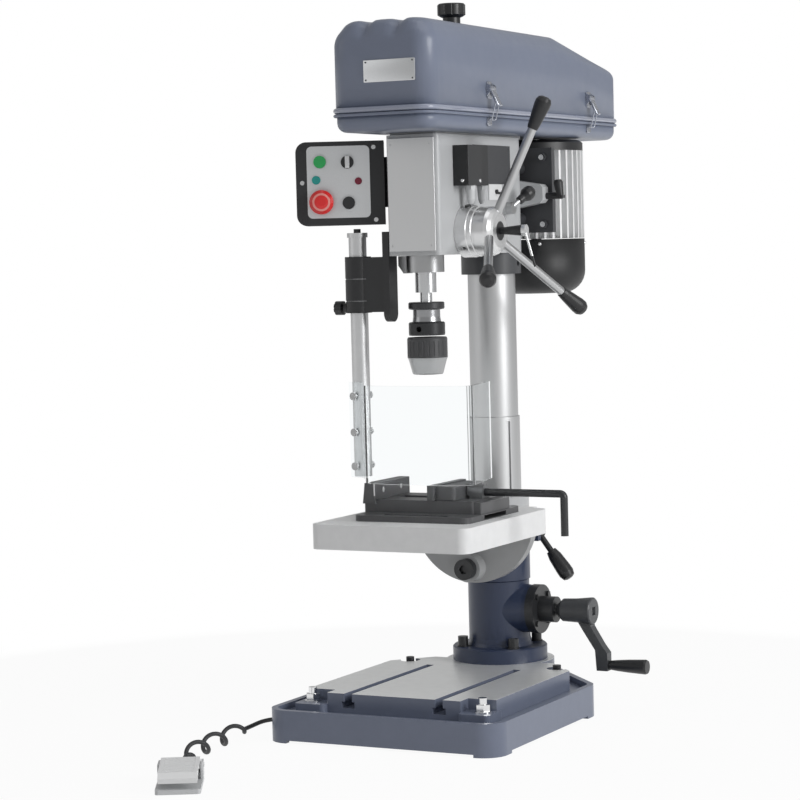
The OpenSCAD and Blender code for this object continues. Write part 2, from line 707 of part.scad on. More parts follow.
module fan_cover() {
  color("#26282b") translate([0, motor_y, 0]) difference() {
    turned([[0, 602], [50, 602], [64, 606], [motor_r - 2, 616], [motor_r, 628], [motor_r, 684], [8.5, 684], [8.5, 680], [70, 680],
            [70, 630], [68, 619], [61, 610], [49, 606], [0, 606]]);
    for (a = [0:12:348]) rotate(a) box(22, 46, -1.6, 1.6, 598, 610);
    rod_z(9, 670, 690);
  }
}
module tension_bracket() {
  color("#c3c5c8") difference() {
    union() {
      translate([0, 50, 0]) rotate([90, 0, 0]) linear_extrude(20)
        polygon([[30, 731], [68, 737.5], [72, 742], [72, 760], [68, 764.5], [30, 771]]);
      rod_x(10, head_hw, 46, -36, 730.5);
    }
    rod_x(5 + fit, 60, 90, 45, 747.5);
    translate([0, 0, 700]) linear_extrude(100) rrect(-head_hw, head_hw, -60, 42, 30);
  }
}
module tension_lever() {
  color("#3a3c40") {
    rod_x(9, 46 + gap, 56, -36, 730.5);
    translate([51, -36, 730.5]) multmatrix(aim([15, 26, 20])) {
      cylinder(r = 3.6, h = 26);
      turned([[0, 18], [6, 18], [6.4, 26], [10, 33], [10.4, 38], [9.4, 43], [6.5, 46.5], [0, 48]]);
    }
  }
}
module motor_lock_lever() {
  color("#222326") {
    rod_x(5, 62, 97, 45, 747.5);
    translate([96.5, 45, 744]) cylinder(r = 4.5, h = 4);
    translate([94, 45, 745]) rotate([0, -8, 0]) turned([[0, 0], [5, 0], [6, 10], [7, 22], [5, 26], [0, 26]]);
  }
}

// ---------- controls ----------
// Puts children in the control box's own frame: x along its face, -y out of the face
module at_panel() { translate([-55, -226, 0]) rotate([0, 0, 27]) children(); }
module face_plate(x0, x1, y0, y1, z0, z1, r) {
  translate([0, y1, 0]) rotate([90, 0, 0]) linear_extrude(y1 - y0) rrect(x0, x1, z0, z1, r);
}
module control_box() {
  color("#26282b") difference() {
    union() {
      at_panel() face_plate(-124, -1, 0, 50, 710.6, 828, 15);
      at_panel() box(-40, 0, 0, 50, 710.6, 828);
      box(-88, -41, -216, -182, 735, 805);
    }
    at_panel() {
      face_plate(-114, -14, 8, 44, 720, 820, 6);
      for (p = [[-90, 799.6], [-50.7, 741.8], [-88.6, 743.3], [-51.4, 798.6]]) rod_y(6 + fit, -1, 20, p.x, p.y);
    }
  }
  at_panel() {
    color("#8f9398") for (p = [[-115.4, 771], [-14.5, 819], [-13, 717.5], [-113, 819], [-113, 718]]) rod_y(3, -1.2, 1, p.x, p.y);
    color("#2f9c4a") rod_y(6, -4, 9, -95.7, 774.5);
    color("#7c1f22") rod_y(5, -4, 9, -36.6, 772);
  }
}
module control_panel() {
  color("#d3d5d8") at_panel() difference() {
    face_plate(-108.5, -20.3, -1, 0, 721, 821.6, 7);
    for (p = [[-90, 799.6], [-50.7, 741.8], [-88.6, 743.3], [-51.4, 798.6]]) rod_y(6 + fit, -2, 2, p.x, p.y);
    rod_y(6.1, -2, 2, -95.7, 774.5);
    rod_y(5.1, -2, 2, -36.6, 772);
  }
  // bezel rings
  color("#8f9398") at_panel()
    for (p = [[-90, 799.6, 10.5], [-50.7, 741.8, 10.5], [-88.6, 743.3, 12.5], [-51.4, 798.6, 10.5]]) difference() {
      rod_y(p[2], -3.4, -1, p.x, p.y);
      rod_y(p[2] - 1.6, -4, 0, p.x, p.y);
    }
}
module push_button(x, z, r) {
  at_panel() {
    rod_y(r, -10, -4, x, z);
    rod_y(6, -4.5, 12, x, z);
  }
}
module start_button() { color("#2f9c4a") push_button(-90, 799.6, 8.6); }
module stop_button() { color("#232427") push_button(-50.7, 741.8, 8.6); }
module emergency_stop() {
  color("#c0262b") at_panel() translate([-88.6, 0, 743.3]) rotate([90, 0, 0])
    turned([[0, -12], [6, -12], [6, 6], [10, 8], [17, 16], [17, 19], [13, 22.5], [6, 24], [0, 24]]);
}
module selector_switch() {
  color("#232427") at_panel() {
    rod_y(6, -4.5, 12, -51.4, 798.6);
    rod_y(9, -8, -4, -51.4, 798.6);
    box(-54.4, -48.4, -15, -7, 790.2, 807);
  }
}
module switch_cover() {
  color("#232427") difference() {
    rbox(41, 65, -203.5, -138.5, 761.5, 817.5, 1);
    rod_x(2.4, 64, 70, -167, 768);
    rod_y(2.4, -210, -202.5, 55.6, 768);
  }
  color("#4b4e54") difference() {
    box(41, 43, -139, -18, 765, 820);
    for (y = [-132, -24], z = [770, 815]) rod_x(1.3, 42.4, 50, y, z);
  }
  color("#e7e8e9") box(41, 43, -91, -48, 742, 764.5);
  color("#b9bcc2") for (y = [-181, -145]) {
    translate([57, y, 761.5]) rotate([180, 0, 0]) hex_nut(13, 6);
    translate([57, y, 755.7]) rotate([180, 0, 0]) turned([[0, 0], [6.5, 0], [5.5, 14], [3.2, 20], [0, 20]]);
  }
  color("#232427") {
    translate([43, -69, 754]) rotate([0, 90, 0]) cylinder(r = 3, h = 3);
    translate([43, 0, 0]) box(0, 1.6, -70, -54, 750.5, 753.5);
  }
}

// ---------- guard ----------
guard_x = -98;
guard_y = -231;
guard_bolts = [371, 419, 470];
module guard_bracket() {
  color("#232427") difference() {
    union() {
      rod_z(18.5, 587, 666, guard_x, guard_y);
      box(-100, -44, -243, -219, 588, 665);
      box(-51, -head_hw, -246, -221.5, 586.2, 700);
      rod_x(12.25, -51, -head_hw, -233.75, 586.25);
      rod_x(7, -120, -108, guard_y, 594);
    }
    rod_z(12.5 + fit, 500, 700, guard_x, guard_y);
    for (z = [603, 634]) difference() {
      rod_z(22, z, z + 1.5, guard_x, guard_y);
      rod_z(17.7, z - 1, z + 4, guard_x, guard_y);
      box(-97, -50, -260, -200, z - 1, z + 4);
    }
  }
  color("#232427") {
    rod_x(4, -124, -118, guard_y, 594);
    difference() {
      rod_x(10, -134, -123, guard_y, 594);
      for (a = [0:45:315]) translate([0, guard_y, 594]) rotate([a, 0, 0]) rod_x(2, -135, -120, 0, 11);
    }
  }
}
module guard_rod() {
  color("#9ea2a7") {
    rod_z(12.5, 356, 694, guard_x, guard_y);
    rod_z(14.5, 693, 699.5, guard_x, guard_y);
  }
  color("#26282b") {
    translate([guard_x, guard_y, 699.5]) {
      cylinder(r = 5, h = 5.5);
    }
    for (z = guard_bolts) translate([guard_x, guard_y, z]) rotate(-12) {
      rod_y(3, -17, 19, 0, 0);
      translate([0, 19, 0]) rotate([90, 0, 0]) hex_nut(10, 5.5);
      rod_y(5.5, -19.8, -16.8, 0, 0);
    }
  }
}
// Plan of the clear shield, front panel bowed outwards
function arc_pts(c, r, a0, a1, n) = [for (i = [0:n]) c + r * [cos(a0 + (a1 - a0) * i / n), sin(a0 + (a1 - a0) * i / n)]];
shield_path = concat([[-110.3, -245.5], [-92.7, -249.2], [-86, -253.5]], arc_pts([-31.8, -311.8], 17, 216, 252, 4),
                     arc_pts([40, -38], 300, -104.5, -77.5, 12), arc_pts([102.7, -316.1], 15, -74, 13, 5),
                     [[97, -218]]);
function norm2(v) = v / norm(v);
function side_pts(p, d) = [for (i = [0:len(p) - 1])
  let (t = norm2(p[min(i + 1, len(p) - 1)] - p[max(i - 1, 0)])) p[i] + d * [-t.y, t.x]];
module guard_shield() {
  back = side_pts(shield_path, 3);
  color("#cfe0e8", 0.35) difference() {
    translate([0, 0, 355.5]) linear_extrude(489.8 - 355.5)
      polygon(concat(shield_path, [for (i = [len(back) - 1:-1:0]) back[i]]));
    for (z = guard_bolts) translate([guard_x, guard_y, z]) rotate(-12) rod_y(3.3, -25, -10, 0, 0);
  }
}

// ---------- foot switch ----------
pedal_at = [-131, -686];
pedal_yaw = 29;
module at_pedal() { translate([pedal_at.x, pedal_at.y, 0]) rotate([0, 0, pedal_yaw]) children(); }
module foot_switch() {
  color("#a5a8ad") at_pedal() difference() {
    union() {
      rbox(-29, 29, -47, 48, 0, 6, 5);
      rbox(-28, 28, 20, 47, 5, 22, 4);
      for (s = [-1, 1]) box(s * 27.5 - 1.5, s * 27.5 + 1.5, 14, 46, 5, 26);
    }
    rod_x(3, -40, 40, 38, 20);
    box(-25.4, 25.4, 19, 46, 13.5, 40);
  }
  color("#26282b") at_pedal() rod_y(6, 46.5, 55, 0, 11);
}
module foot_pedal() {
  color("#b9bcbf") at_pedal() difference() {
    union() {
      rotate([90, 0, 90]) translate([0, 0, -25]) linear_extrude(50)
        polygon([[-46, 14], [-46, 20], [-38, 26.5], [34, 31.5], [43, 27], [44, 20], [36, 15.4], [-10, 24.5]]);
      rod_x(5, -25, 25, 38, 20.5);
    }
    for (i = [0:9]) translate([0, -36 + 7 * i, 27 + 0.49 * i]) box(-20, 20, -1.4, 1.4, -1.2, 6);
  }
  color("#8f9398") at_pedal() rod_x(2.9, -30, 30, 38, 20);
}
// A tube swept along rings given as [x, y, z, radius]
function ring_pts(p, q, c, r, n) = let (t = (q - p) / norm(q - p), s = [-t.y, t.x, 0] / norm([t.x, t.y]),
  u = cross(t, s)) [for (k = [0:n - 1]) c + r * (cos(360 * k / n) * s + sin(360 * k / n) * u)];
module tube(route, n) {
  m = len(route);
  pos = [for (q = route) [q[0], q[1], q[2]]];
  points = [for (i = [0:m - 1]) each ring_pts(pos[max(i - 1, 0)], pos[min(i + 1, m - 1)], pos[i], route[i][3], n)];
  polyhedron(points, concat([[for (k = [0:n - 1]) k]],
    [for (i = [0:m - 2], k = [0:n - 1])
      [i * n + k, (i + 1) * n + k, (i + 1) * n + (k + 1) % n, i * n + (k + 1) % n]],
    [[for (k = [n - 1:-1:0]) (m - 1) * n + k]]), convexity = 6);
}
cord_route = [[-178, -352, 24, 3.2], [-190, -352.5, 23, 3.2], [-203, -358, 20, 3.4], [-211, -372, 16, 5],
              [-214, -390, 14, 11], [-215, -415, 13.3, 13], [-214, -445, 13.3, 13], [-211, -475, 13.3, 13],
              [-207, -505, 13.3, 13], [-202, -535, 13.3, 13], [-196, -560, 13.3, 12], [-190, -578, 13.5, 8],
              [-184, -592, 13, 4], [-176, -607, 12, 3.2], [-166, -622, 11, 3.2], [-158.2, -636.9, 11, 3.2]];
module curly_cord() {
  color("#2b2c2f") tube(cord_route, 10);
}

base_casting();
anchor_studs();
column_socket();
flange_bolts();
crank_flange();
column_cap_ring();
crank_arm();
crank_grip();
worm_shaft();
worm_wheel();
column();
column_rack();
swivel_ring();
table_lock_lever();
table();
tilt_bolt();
vise_body();
vise_jaw();
vise_screw();
head_casting();
front_plate();
head_collar();
quill_collar();
quill();
spindle();
chuck_body();
chuck_sleeve();
chuck_jaw_a();
chuck_jaw_b();
chuck_jaw_c();
feed_shaft();
feed_hub();
feed_spokes();
belt_pan();
spindle_pulley();
motor_pulley();
belt();
hood();
hood_knob();
latch_front();
latch_rear();
motor_plate();
motor_body();
fan_cover();
tension_bracket();
tension_lever();
motor_lock_lever();
control_box();
control_panel();
start_button();
stop_button();
emergency_stop();
selector_switch();
switch_cover();
guard_bracket();
guard_rod();
guard_shield();
foot_switch();
foot_pedal();
curly_cord();
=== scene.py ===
# %% [markdown]
# # Drill press
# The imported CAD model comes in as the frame. This file adds the camera, the finishes, and the
# pieces whose looks need more than the CAD solids show.

import json
import math

import bmesh
import bpy
from mathutils import Matrix, Vector


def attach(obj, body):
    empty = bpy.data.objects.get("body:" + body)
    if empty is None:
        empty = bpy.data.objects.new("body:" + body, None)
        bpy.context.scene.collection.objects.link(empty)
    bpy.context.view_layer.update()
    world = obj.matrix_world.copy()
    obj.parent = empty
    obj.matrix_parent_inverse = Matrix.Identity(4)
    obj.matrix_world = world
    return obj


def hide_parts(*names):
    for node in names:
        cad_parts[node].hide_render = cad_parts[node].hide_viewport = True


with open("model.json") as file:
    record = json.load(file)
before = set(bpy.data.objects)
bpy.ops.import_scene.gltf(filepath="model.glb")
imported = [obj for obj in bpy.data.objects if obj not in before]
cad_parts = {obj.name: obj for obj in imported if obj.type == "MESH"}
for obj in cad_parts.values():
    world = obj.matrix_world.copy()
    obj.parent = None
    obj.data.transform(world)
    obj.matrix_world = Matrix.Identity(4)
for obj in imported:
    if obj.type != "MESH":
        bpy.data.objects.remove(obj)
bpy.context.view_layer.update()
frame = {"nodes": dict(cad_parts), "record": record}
nodes = frame["nodes"]

# %% [markdown]
# ## Camera
# It stands off the machine's front right corner, at about the height of the feed shaft, with a
# long lens. Azimuth, elevation and roll are kept apart, so that each can be set on its own.

# %% Camera
CAMERA_PLACE = (1.60309, -3.38914, 0.68080)
AZIMUTH, ELEVATION, ROLL = 27.444, 3.488, -1.503  # degrees
LENS, SENSOR = 114.295, 36.0  # mm


def make_camera(place, azimuth, elevation, roll, lens):
    az, el, ro = (math.radians(v) for v in (azimuth, elevation, roll))
    back = Vector((math.sin(az) * math.cos(el), -math.cos(az) * math.cos(el), math.sin(el)))
    side = Vector((math.cos(az), math.sin(az), 0.0))
    up = back.cross(side)
    right = side * math.cos(ro) + up * math.sin(ro)
    top = up * math.cos(ro) - side * math.sin(ro)
    turn = Matrix((right, top, back)).transposed().to_4x4()
    data = bpy.data.cameras.new("camera")
    data.lens, data.sensor_width = lens, SENSOR
    data.clip_start, data.clip_end = 0.1, 50.0
    camera = bpy.data.objects.new("camera", data)
    camera.matrix_world = Matrix.Translation(place) @ turn
    bpy.context.scene.collection.objects.link(camera)
    bpy.context.scene.camera = camera
    return camera


camera = make_camera(CAMERA_PLACE, AZIMUTH, ELEVATION, ROLL, LENS)
print("camera at", [round(v, 3) for v in camera.location])

# %% [markdown]
# ## Finishes
# Every finish is made of shader nodes in object space. Paint has a faint orange peel, castings
# a coarser skin, and machined steel fine lines along the way it was cut. Noise does all three:
# a slow noise for the colour, a fine one for the bump.

# %% Material helpers
NOISE_LOW, NOISE_HIGH = 0.3, 0.7  # nearly all of a noise lies between these
CUT_DEPTH, GRAIN_DEPTH, PEEL_DEPTH = 0.0002, 0.0003, 0.0004  # bump heights, m
FINE = 2.0  # detail of the noises used for bumps
EVEN = (1.0, 1.0, 1.0)  # the same along every axis


def new_material(name):
    m = bpy.data.materials.new(name)
    m.use_nodes = True
    tree = m.node_tree
    return m, tree, tree.nodes["Principled BSDF"]


def put(tree, value, socket):
    """Link a node's output to the socket, or set a number or a colour on the socket itself."""
    if isinstance(value, bpy.types.NodeSocket):
        tree.links.new(value, socket)
    else:
        socket.default_value = (*value, 1.0) if isinstance(value, tuple) else value


def set_shader(tree, shader, **values):
    for key, value in values.items():
        put(tree, value, shader.inputs[key.replace("_", " ")])


def coords(tree, stretch=EVEN):
    place = tree.nodes.new("ShaderNodeTexCoord")
    mapping = tree.nodes.new("ShaderNodeMapping")
    mapping.inputs["Scale"].default_value = stretch
    tree.links.new(place.outputs["Object"], mapping.inputs["Vector"])
    return mapping.outputs["Vector"]


def noise(tree, scale, detail=3.0, stretch=EVEN):
    n = tree.nodes.new("ShaderNodeTexNoise")
    n.inputs["Scale"].default_value = scale
    n.inputs["Detail"].default_value = detail
    tree.links.new(coords(tree, stretch), n.inputs["Vector"])
    return n.outputs["Fac"]


def add_bump(tree, shader, height, strength, distance):
    b = tree.nodes.new("ShaderNodeBump")
    b.inputs["Strength"].default_value = strength
    b.inputs["Distance"].default_value = distance
    tree.links.new(height, b.inputs["Height"])
    tree.links.new(b.outputs["Normal"], shader.inputs["Normal"])


def spread(tree, value, low, high, socket):
    """The noise as a number from low to high."""
    r = tree.nodes.new("ShaderNodeMapRange")
    r.inputs["From Min"].default_value = NOISE_LOW
    r.inputs["From Max"].default_value = NOISE_HIGH
    r.inputs["To Min"].default_value = low
    r.inputs["To Max"].default_value = high
    tree.links.new(value, r.inputs["Value"])
    tree.links.new(r.outputs["Result"], socket)


def two_tone(tree, value, dark, light, socket):
    """The noise as a colour from dark to light."""
    ramp = tree.nodes.new("ShaderNodeValToRGB")
    first, last = ramp.color_ramp.elements
    first.position, first.color = NOISE_LOW, (*dark, 1.0)
    last.position, last.color = NOISE_HIGH, (*light, 1.0)
    tree.links.new(value, ramp.inputs["Fac"])
    tree.links.new(ramp.outputs["Color"], socket)


def shade(c, k):
    return tuple(min(1.0, v * k) for v in c)


def painted(name, colour, rough=0.35, peel=0.02, grain=900.0, coat=0.3):
    """Sprayed paint under a thin clear coat."""
    m, tree, s = new_material(name)
    set_shader(tree, s, Metallic=0.0, Coat_Weight=coat, Coat_Roughness=0.12)
    two_tone(tree, noise(tree, 14.0), shade(colour, 0.985), shade(colour, 1.015), s.inputs["Base Color"])
    spread(tree, noise(tree, 60.0), rough - 0.03, rough + 0.03, s.inputs["Roughness"])
    add_bump(tree, s, noise(tree, grain, FINE), peel, PEEL_DEPTH)
    return m


def metal(name, colour, rough=0.25, lines=EVEN, scale=900.0, depth=0.012):
    """Bare metal. lines squeezes the noise along an axis, so that the tool marks run across it."""
    m, tree, s = new_material(name)
    set_shader(tree, s, Metallic=1.0)
    cut = noise(tree, scale, FINE, lines)
    two_tone(tree, cut, shade(colour, 0.965), shade(colour, 1.03), s.inputs["Base Color"])
    spread(tree, cut, rough - 0.025, rough + 0.03, s.inputs["Roughness"])
    add_bump(tree, s, cut, depth, CUT_DEPTH)
    return m


def plastic(name, colour, rough=0.4, grain=1400.0, depth=0.03):
    """Moulded plastic or rubber, with the fine grain of its mould."""
    m, tree, s = new_material(name)
    set_shader(tree, s, Metallic=0.0, Specular_IOR_Level=0.5)
    two_tone(tree, noise(tree, 20.0), shade(colour, 0.96), shade(colour, 1.04), s.inputs["Base Color"])
    spread(tree, noise(tree, 90.0), rough - 0.03, rough + 0.04, s.inputs["Roughness"])
    add_bump(tree, s, noise(tree, grain, FINE), depth, GRAIN_DEPTH)
    return m


def clear_sheet(name):
    """Clear plastic sheet. An index near 1 keeps what lies behind it in place."""
    m, tree, s = new_material(name)
    set_shader(tree, s, Base_Color=(0.95, 0.97, 0.975), Roughness=0.02, IOR=1.06, Transmission_Weight=1.0)
    return m


# %% [markdown]
# ## Finishes that change along a piece
# Some solids carry two or three finishes, such as a steel rod with a black grip. Their material
# tests where a point lies, by a plane, a distance from a point or a distance from an axis, and
# picks the finish from that.

# %% Tests of place
RIGHT, LEFT = (1, 0, 0), (-1, 0, 0)
BEHIND, AHEAD = (0, 1, 0), (0, -1, 0)
UP, DOWN = (0, 0, 1), (0, 0, -1)
ORIGIN = (0, 0, 0)
ROUND_X, ROUND_Y, ROUND_Z = (0.0, 1.0, 1.0), (1.0, 0.0, 1.0), (1.0, 1.0, 0.0)


def math_node(tree, kind, a, b):
    n = tree.nodes.new("ShaderNodeMath")
    n.operation = kind
    for value, socket in zip((a, b), n.inputs):
        put(tree, value, socket)
    return n.outputs[0]


def vector_node(tree, kind, a, b):
    n = tree.nodes.new("ShaderNodeVectorMath")
    n.operation = kind
    tree.links.new(a, n.inputs[0])
    n.inputs[1].default_value = b
    return n


def past(normal, distance):
    """Where the point lies further along the normal than distance."""
    def test(tree):
        along_it = vector_node(tree, "DOT_PRODUCT", coords(tree), normal).outputs["Value"]
        return math_node(tree, "GREATER_THAN", along_it, distance)
    return test


def away(centre, radius, keep=EVEN):
    """Where the point is further than radius from centre, counting only the axes in keep."""
    def test(tree):
        offset = vector_node(tree, "SUBTRACT", coords(tree), centre).outputs["Vector"]
        flat = vector_node(tree, "MULTIPLY", offset, keep).outputs["Vector"]
        reach = vector_node(tree, "LENGTH", flat, ORIGIN).outputs["Value"]
        return math_node(tree, "GREATER_THAN", reach, radius)
    return test


def near(centre, radius, keep=EVEN):
    return lambda tree: math_node(tree, "SUBTRACT", 1.0, away(centre, radius, keep)(tree))


def both(*tests):
    """Where every one of the tests holds."""
    def test(tree):
        out = tests[0](tree)
        for t in tests[1:]:
            out = math_node(tree, "MULTIPLY", out, t(tree))
        return out
    return test


# %% [markdown]
# A patchwork starts from one finish and lays the others over it. Colour, metallic and roughness
# are each mixed by the test, and a faint mottle goes over the whole piece.

# %% Patchwork
MIX_NUMBERS, MIX_COLOURS = (2, 3, 0), (6, 7, 2)  # a Mix node's two inputs and its output

# colour, metallic, roughness
STEEL = ((0.62, 0.625, 0.63), 1.0, 0.26)
CHROME = ((0.78, 0.785, 0.79), 1.0, 0.14)
BLACK = ((0.014, 0.0145, 0.016), 0.0, 0.38)
DARK = ((0.05, 0.052, 0.057), 0.0, 0.42)
WHITE = ((0.74, 0.745, 0.75), 0.0, 0.45)


def mix(tree, kind, sockets, factor, a, b):
    n = tree.nodes.new("ShaderNodeMix")
    n.data_type = kind
    tree.links.new(factor, n.inputs[0])
    put(tree, a, n.inputs[sockets[0]])
    put(tree, b, n.inputs[sockets[1]])
    return n.outputs[sockets[2]]


def mix_number(tree, factor, a, b):
    """A mix of two numbers, unless they are the same."""
    return a if a == b else mix(tree, "FLOAT", MIX_NUMBERS, factor, a, b)


def patchwork(name, base, *patches, grain=900.0):
    """base and each patch's finish are (colour, metallic, roughness); later patches win."""
    m, tree, s = new_material(name)
    colour, metallic, rough = base
    for test, finish in patches:
        factor = test(tree)
        colour = mix(tree, "RGBA", MIX_COLOURS, factor, colour, finish[0])
        metallic = mix_number(tree, factor, metallic, finish[1])
        rough = mix_number(tree, factor, rough, finish[2])
    mottle = tree.nodes.new("ShaderNodeMix")
    mottle.data_type, mottle.blend_type = "RGBA", "MULTIPLY"
    mottle.inputs[0].default_value = 1.0
    put(tree, colour, mottle.inputs[6])
    two_tone(tree, noise(tree, 60.0), (0.95, 0.95, 0.95), (1.0, 1.0, 1.0), mottle.inputs[7])
    tree.links.new(mottle.outputs[2], s.inputs["Base Color"])
    put(tree, metallic, s.inputs["Metallic"])
    put(tree, rough, s.inputs["Roughness"])
    add_bump(tree, s, noise(tree, grain, FINE), 0.02, GRAIN_DEPTH)
    return m


# %% [markdown]
# One finish for every material slot of the CAD model, and a few more that only the pieces made here wear: the
# blue of the pressed covers, a lighter, glossy blue on their rim whose lightness is a painted highlight along
# the roll, the black of the fan cover and the zinc of the latches.

# %% Finishes
FINISH = {
    "base_blue": painted("base_blue", (0.160, 0.184, 0.252), 0.40, 0.02, 700.0, 0.12),
    # A deeper navy than the base blue, darkened further as painted shade at the column socket.
    "socket_blue": painted("socket_blue", (0.022, 0.034, 0.074), 0.40, 0.04, 500.0, 0.15),
    "head_grey": painted("head_grey", (0.50, 0.51, 0.52), 0.38, 0.02, 800.0, 0.2),
    "table_white": painted("table_white", (0.84, 0.845, 0.85), 0.42, 0.02, 800.0, 0.15),
    "dark_grey": painted("dark_grey", (0.055, 0.058, 0.063), 0.42, 0.03, 700.0, 0.1),
    "pedal_grey": painted("pedal_grey", (0.62, 0.63, 0.64), 0.45, 0.05, 600.0, 0.1),
    "black_plastic": plastic("black_plastic", (0.014, 0.0145, 0.016), 0.36),
    "fan_black": painted("fan_black", (0.010, 0.0105, 0.0115), 0.48, 0.02, 600.0, 0.0),
    "black_cast": painted("black_cast", (0.018, 0.019, 0.021), 0.4, 0.06, 500.0, 0.1),
    "ground_steel": metal("ground_steel", (0.62, 0.63, 0.64), 0.24, (1.0, 1.0, 6.0)),
    "bright_steel": metal("bright_steel", (0.78, 0.785, 0.79), 0.14),
    "motor_alloy": metal("motor_alloy", (0.60, 0.61, 0.62), 0.4, depth=0.04),
    "panel_silver": metal("panel_silver", (0.62, 0.63, 0.64), 0.38),
    "red_plastic": plastic("red_plastic", (0.72, 0.025, 0.025), 0.28),
    "green_plastic": plastic("green_plastic", (0.03, 0.42, 0.11), 0.3),
    "clear_shield": clear_sheet("clear_shield"),
    "cord_rubber": plastic("cord_rubber", (0.03, 0.031, 0.034), 0.5),
    "cover_blue": painted("cover_blue", (0.172, 0.198, 0.270), 0.40, 0.02, 700.0, 0.12),
    # The rim's lighter blue is a painted highlight along its rolled bead, over the covers' own blue.
    "rim_blue": painted("rim_blue", (0.27, 0.295, 0.38), 0.22, 0.02, 700.0, 0.9),
    "latch_zinc": metal("latch_zinc", (0.46, 0.48, 0.53), 0.26),
    "bronze": metal("bronze", (0.55, 0.38, 0.16), 0.35),
    "belt_rubber": plastic("belt_rubber", (0.012, 0.012, 0.012), 0.7, 1200.0, 0.08),
}
print(len(FINISH), "finishes")

# %% [markdown]
# ## Finishes of single nodes
# These nodes need more than their slot's finish: black knobs on steel levers, a ground top on a painted
# casting, its near white partly a painted reflection, screw heads in a plastic box, or a steel that is darker
# than the rest. Every place is given in metres, in the shared frame at rest.

# %% Places on the control box
PANEL_TURN = math.radians(27)
PANEL_COS, PANEL_SIN = math.cos(PANEL_TURN), math.sin(PANEL_TURN)
PANEL_X, PANEL_Y = -55, -226  # mm, where the face turns away from the head
PANEL_SCREWS = [(-115.4, 771), (-14.5, 819), (-13, 717.5)]  # mm along the face, and height
SCREW_FACE, LAMP_FACE, STOP_FACE = -1.2, -4, -20  # mm, negative is out of the face


def proud(depth):
    """Where a point stands out of the control panel by more than depth mm."""
    out = -PANEL_Y * PANEL_COS + PANEL_X * PANEL_SIN + depth
    return past((PANEL_SIN, -PANEL_COS, 0), out / 1000)


def at_panel(x, y, z):
    """A point of the control box, given in its own frame of mm along, into and up its face."""
    return ((PANEL_X + x * PANEL_COS - y * PANEL_SIN) / 1000,
            (PANEL_Y + x * PANEL_SIN + y * PANEL_COS) / 1000, z / 1000)


# %% [markdown]
# Each entry below lists a base finish and then its patches, every one of them a test of place
# and the finish that it lays there.

# %% Finishes of single nodes
HUB = (0.079, -0.170, 0.697)  # where the feed spokes meet
TENSION_PIVOT = (0.051, -0.036, 0.7305)
GUARD_AXIS = (-0.098, -0.231, 0.0)
STOP_BUTTON = at_panel(-88.6, STOP_FACE, 743.3)
BOLTS = [(side * 0.060, 0.057, z) for side in (-1, 1) for z in (0.706, 0.805)]  # motor plate
GROOVES = (0.603, 0.634)  # lower edges of the guard bracket's two grooves
GLANDS_TOP, TAB_TOP = 0.7614, 0.7646  # heights on the switch cover

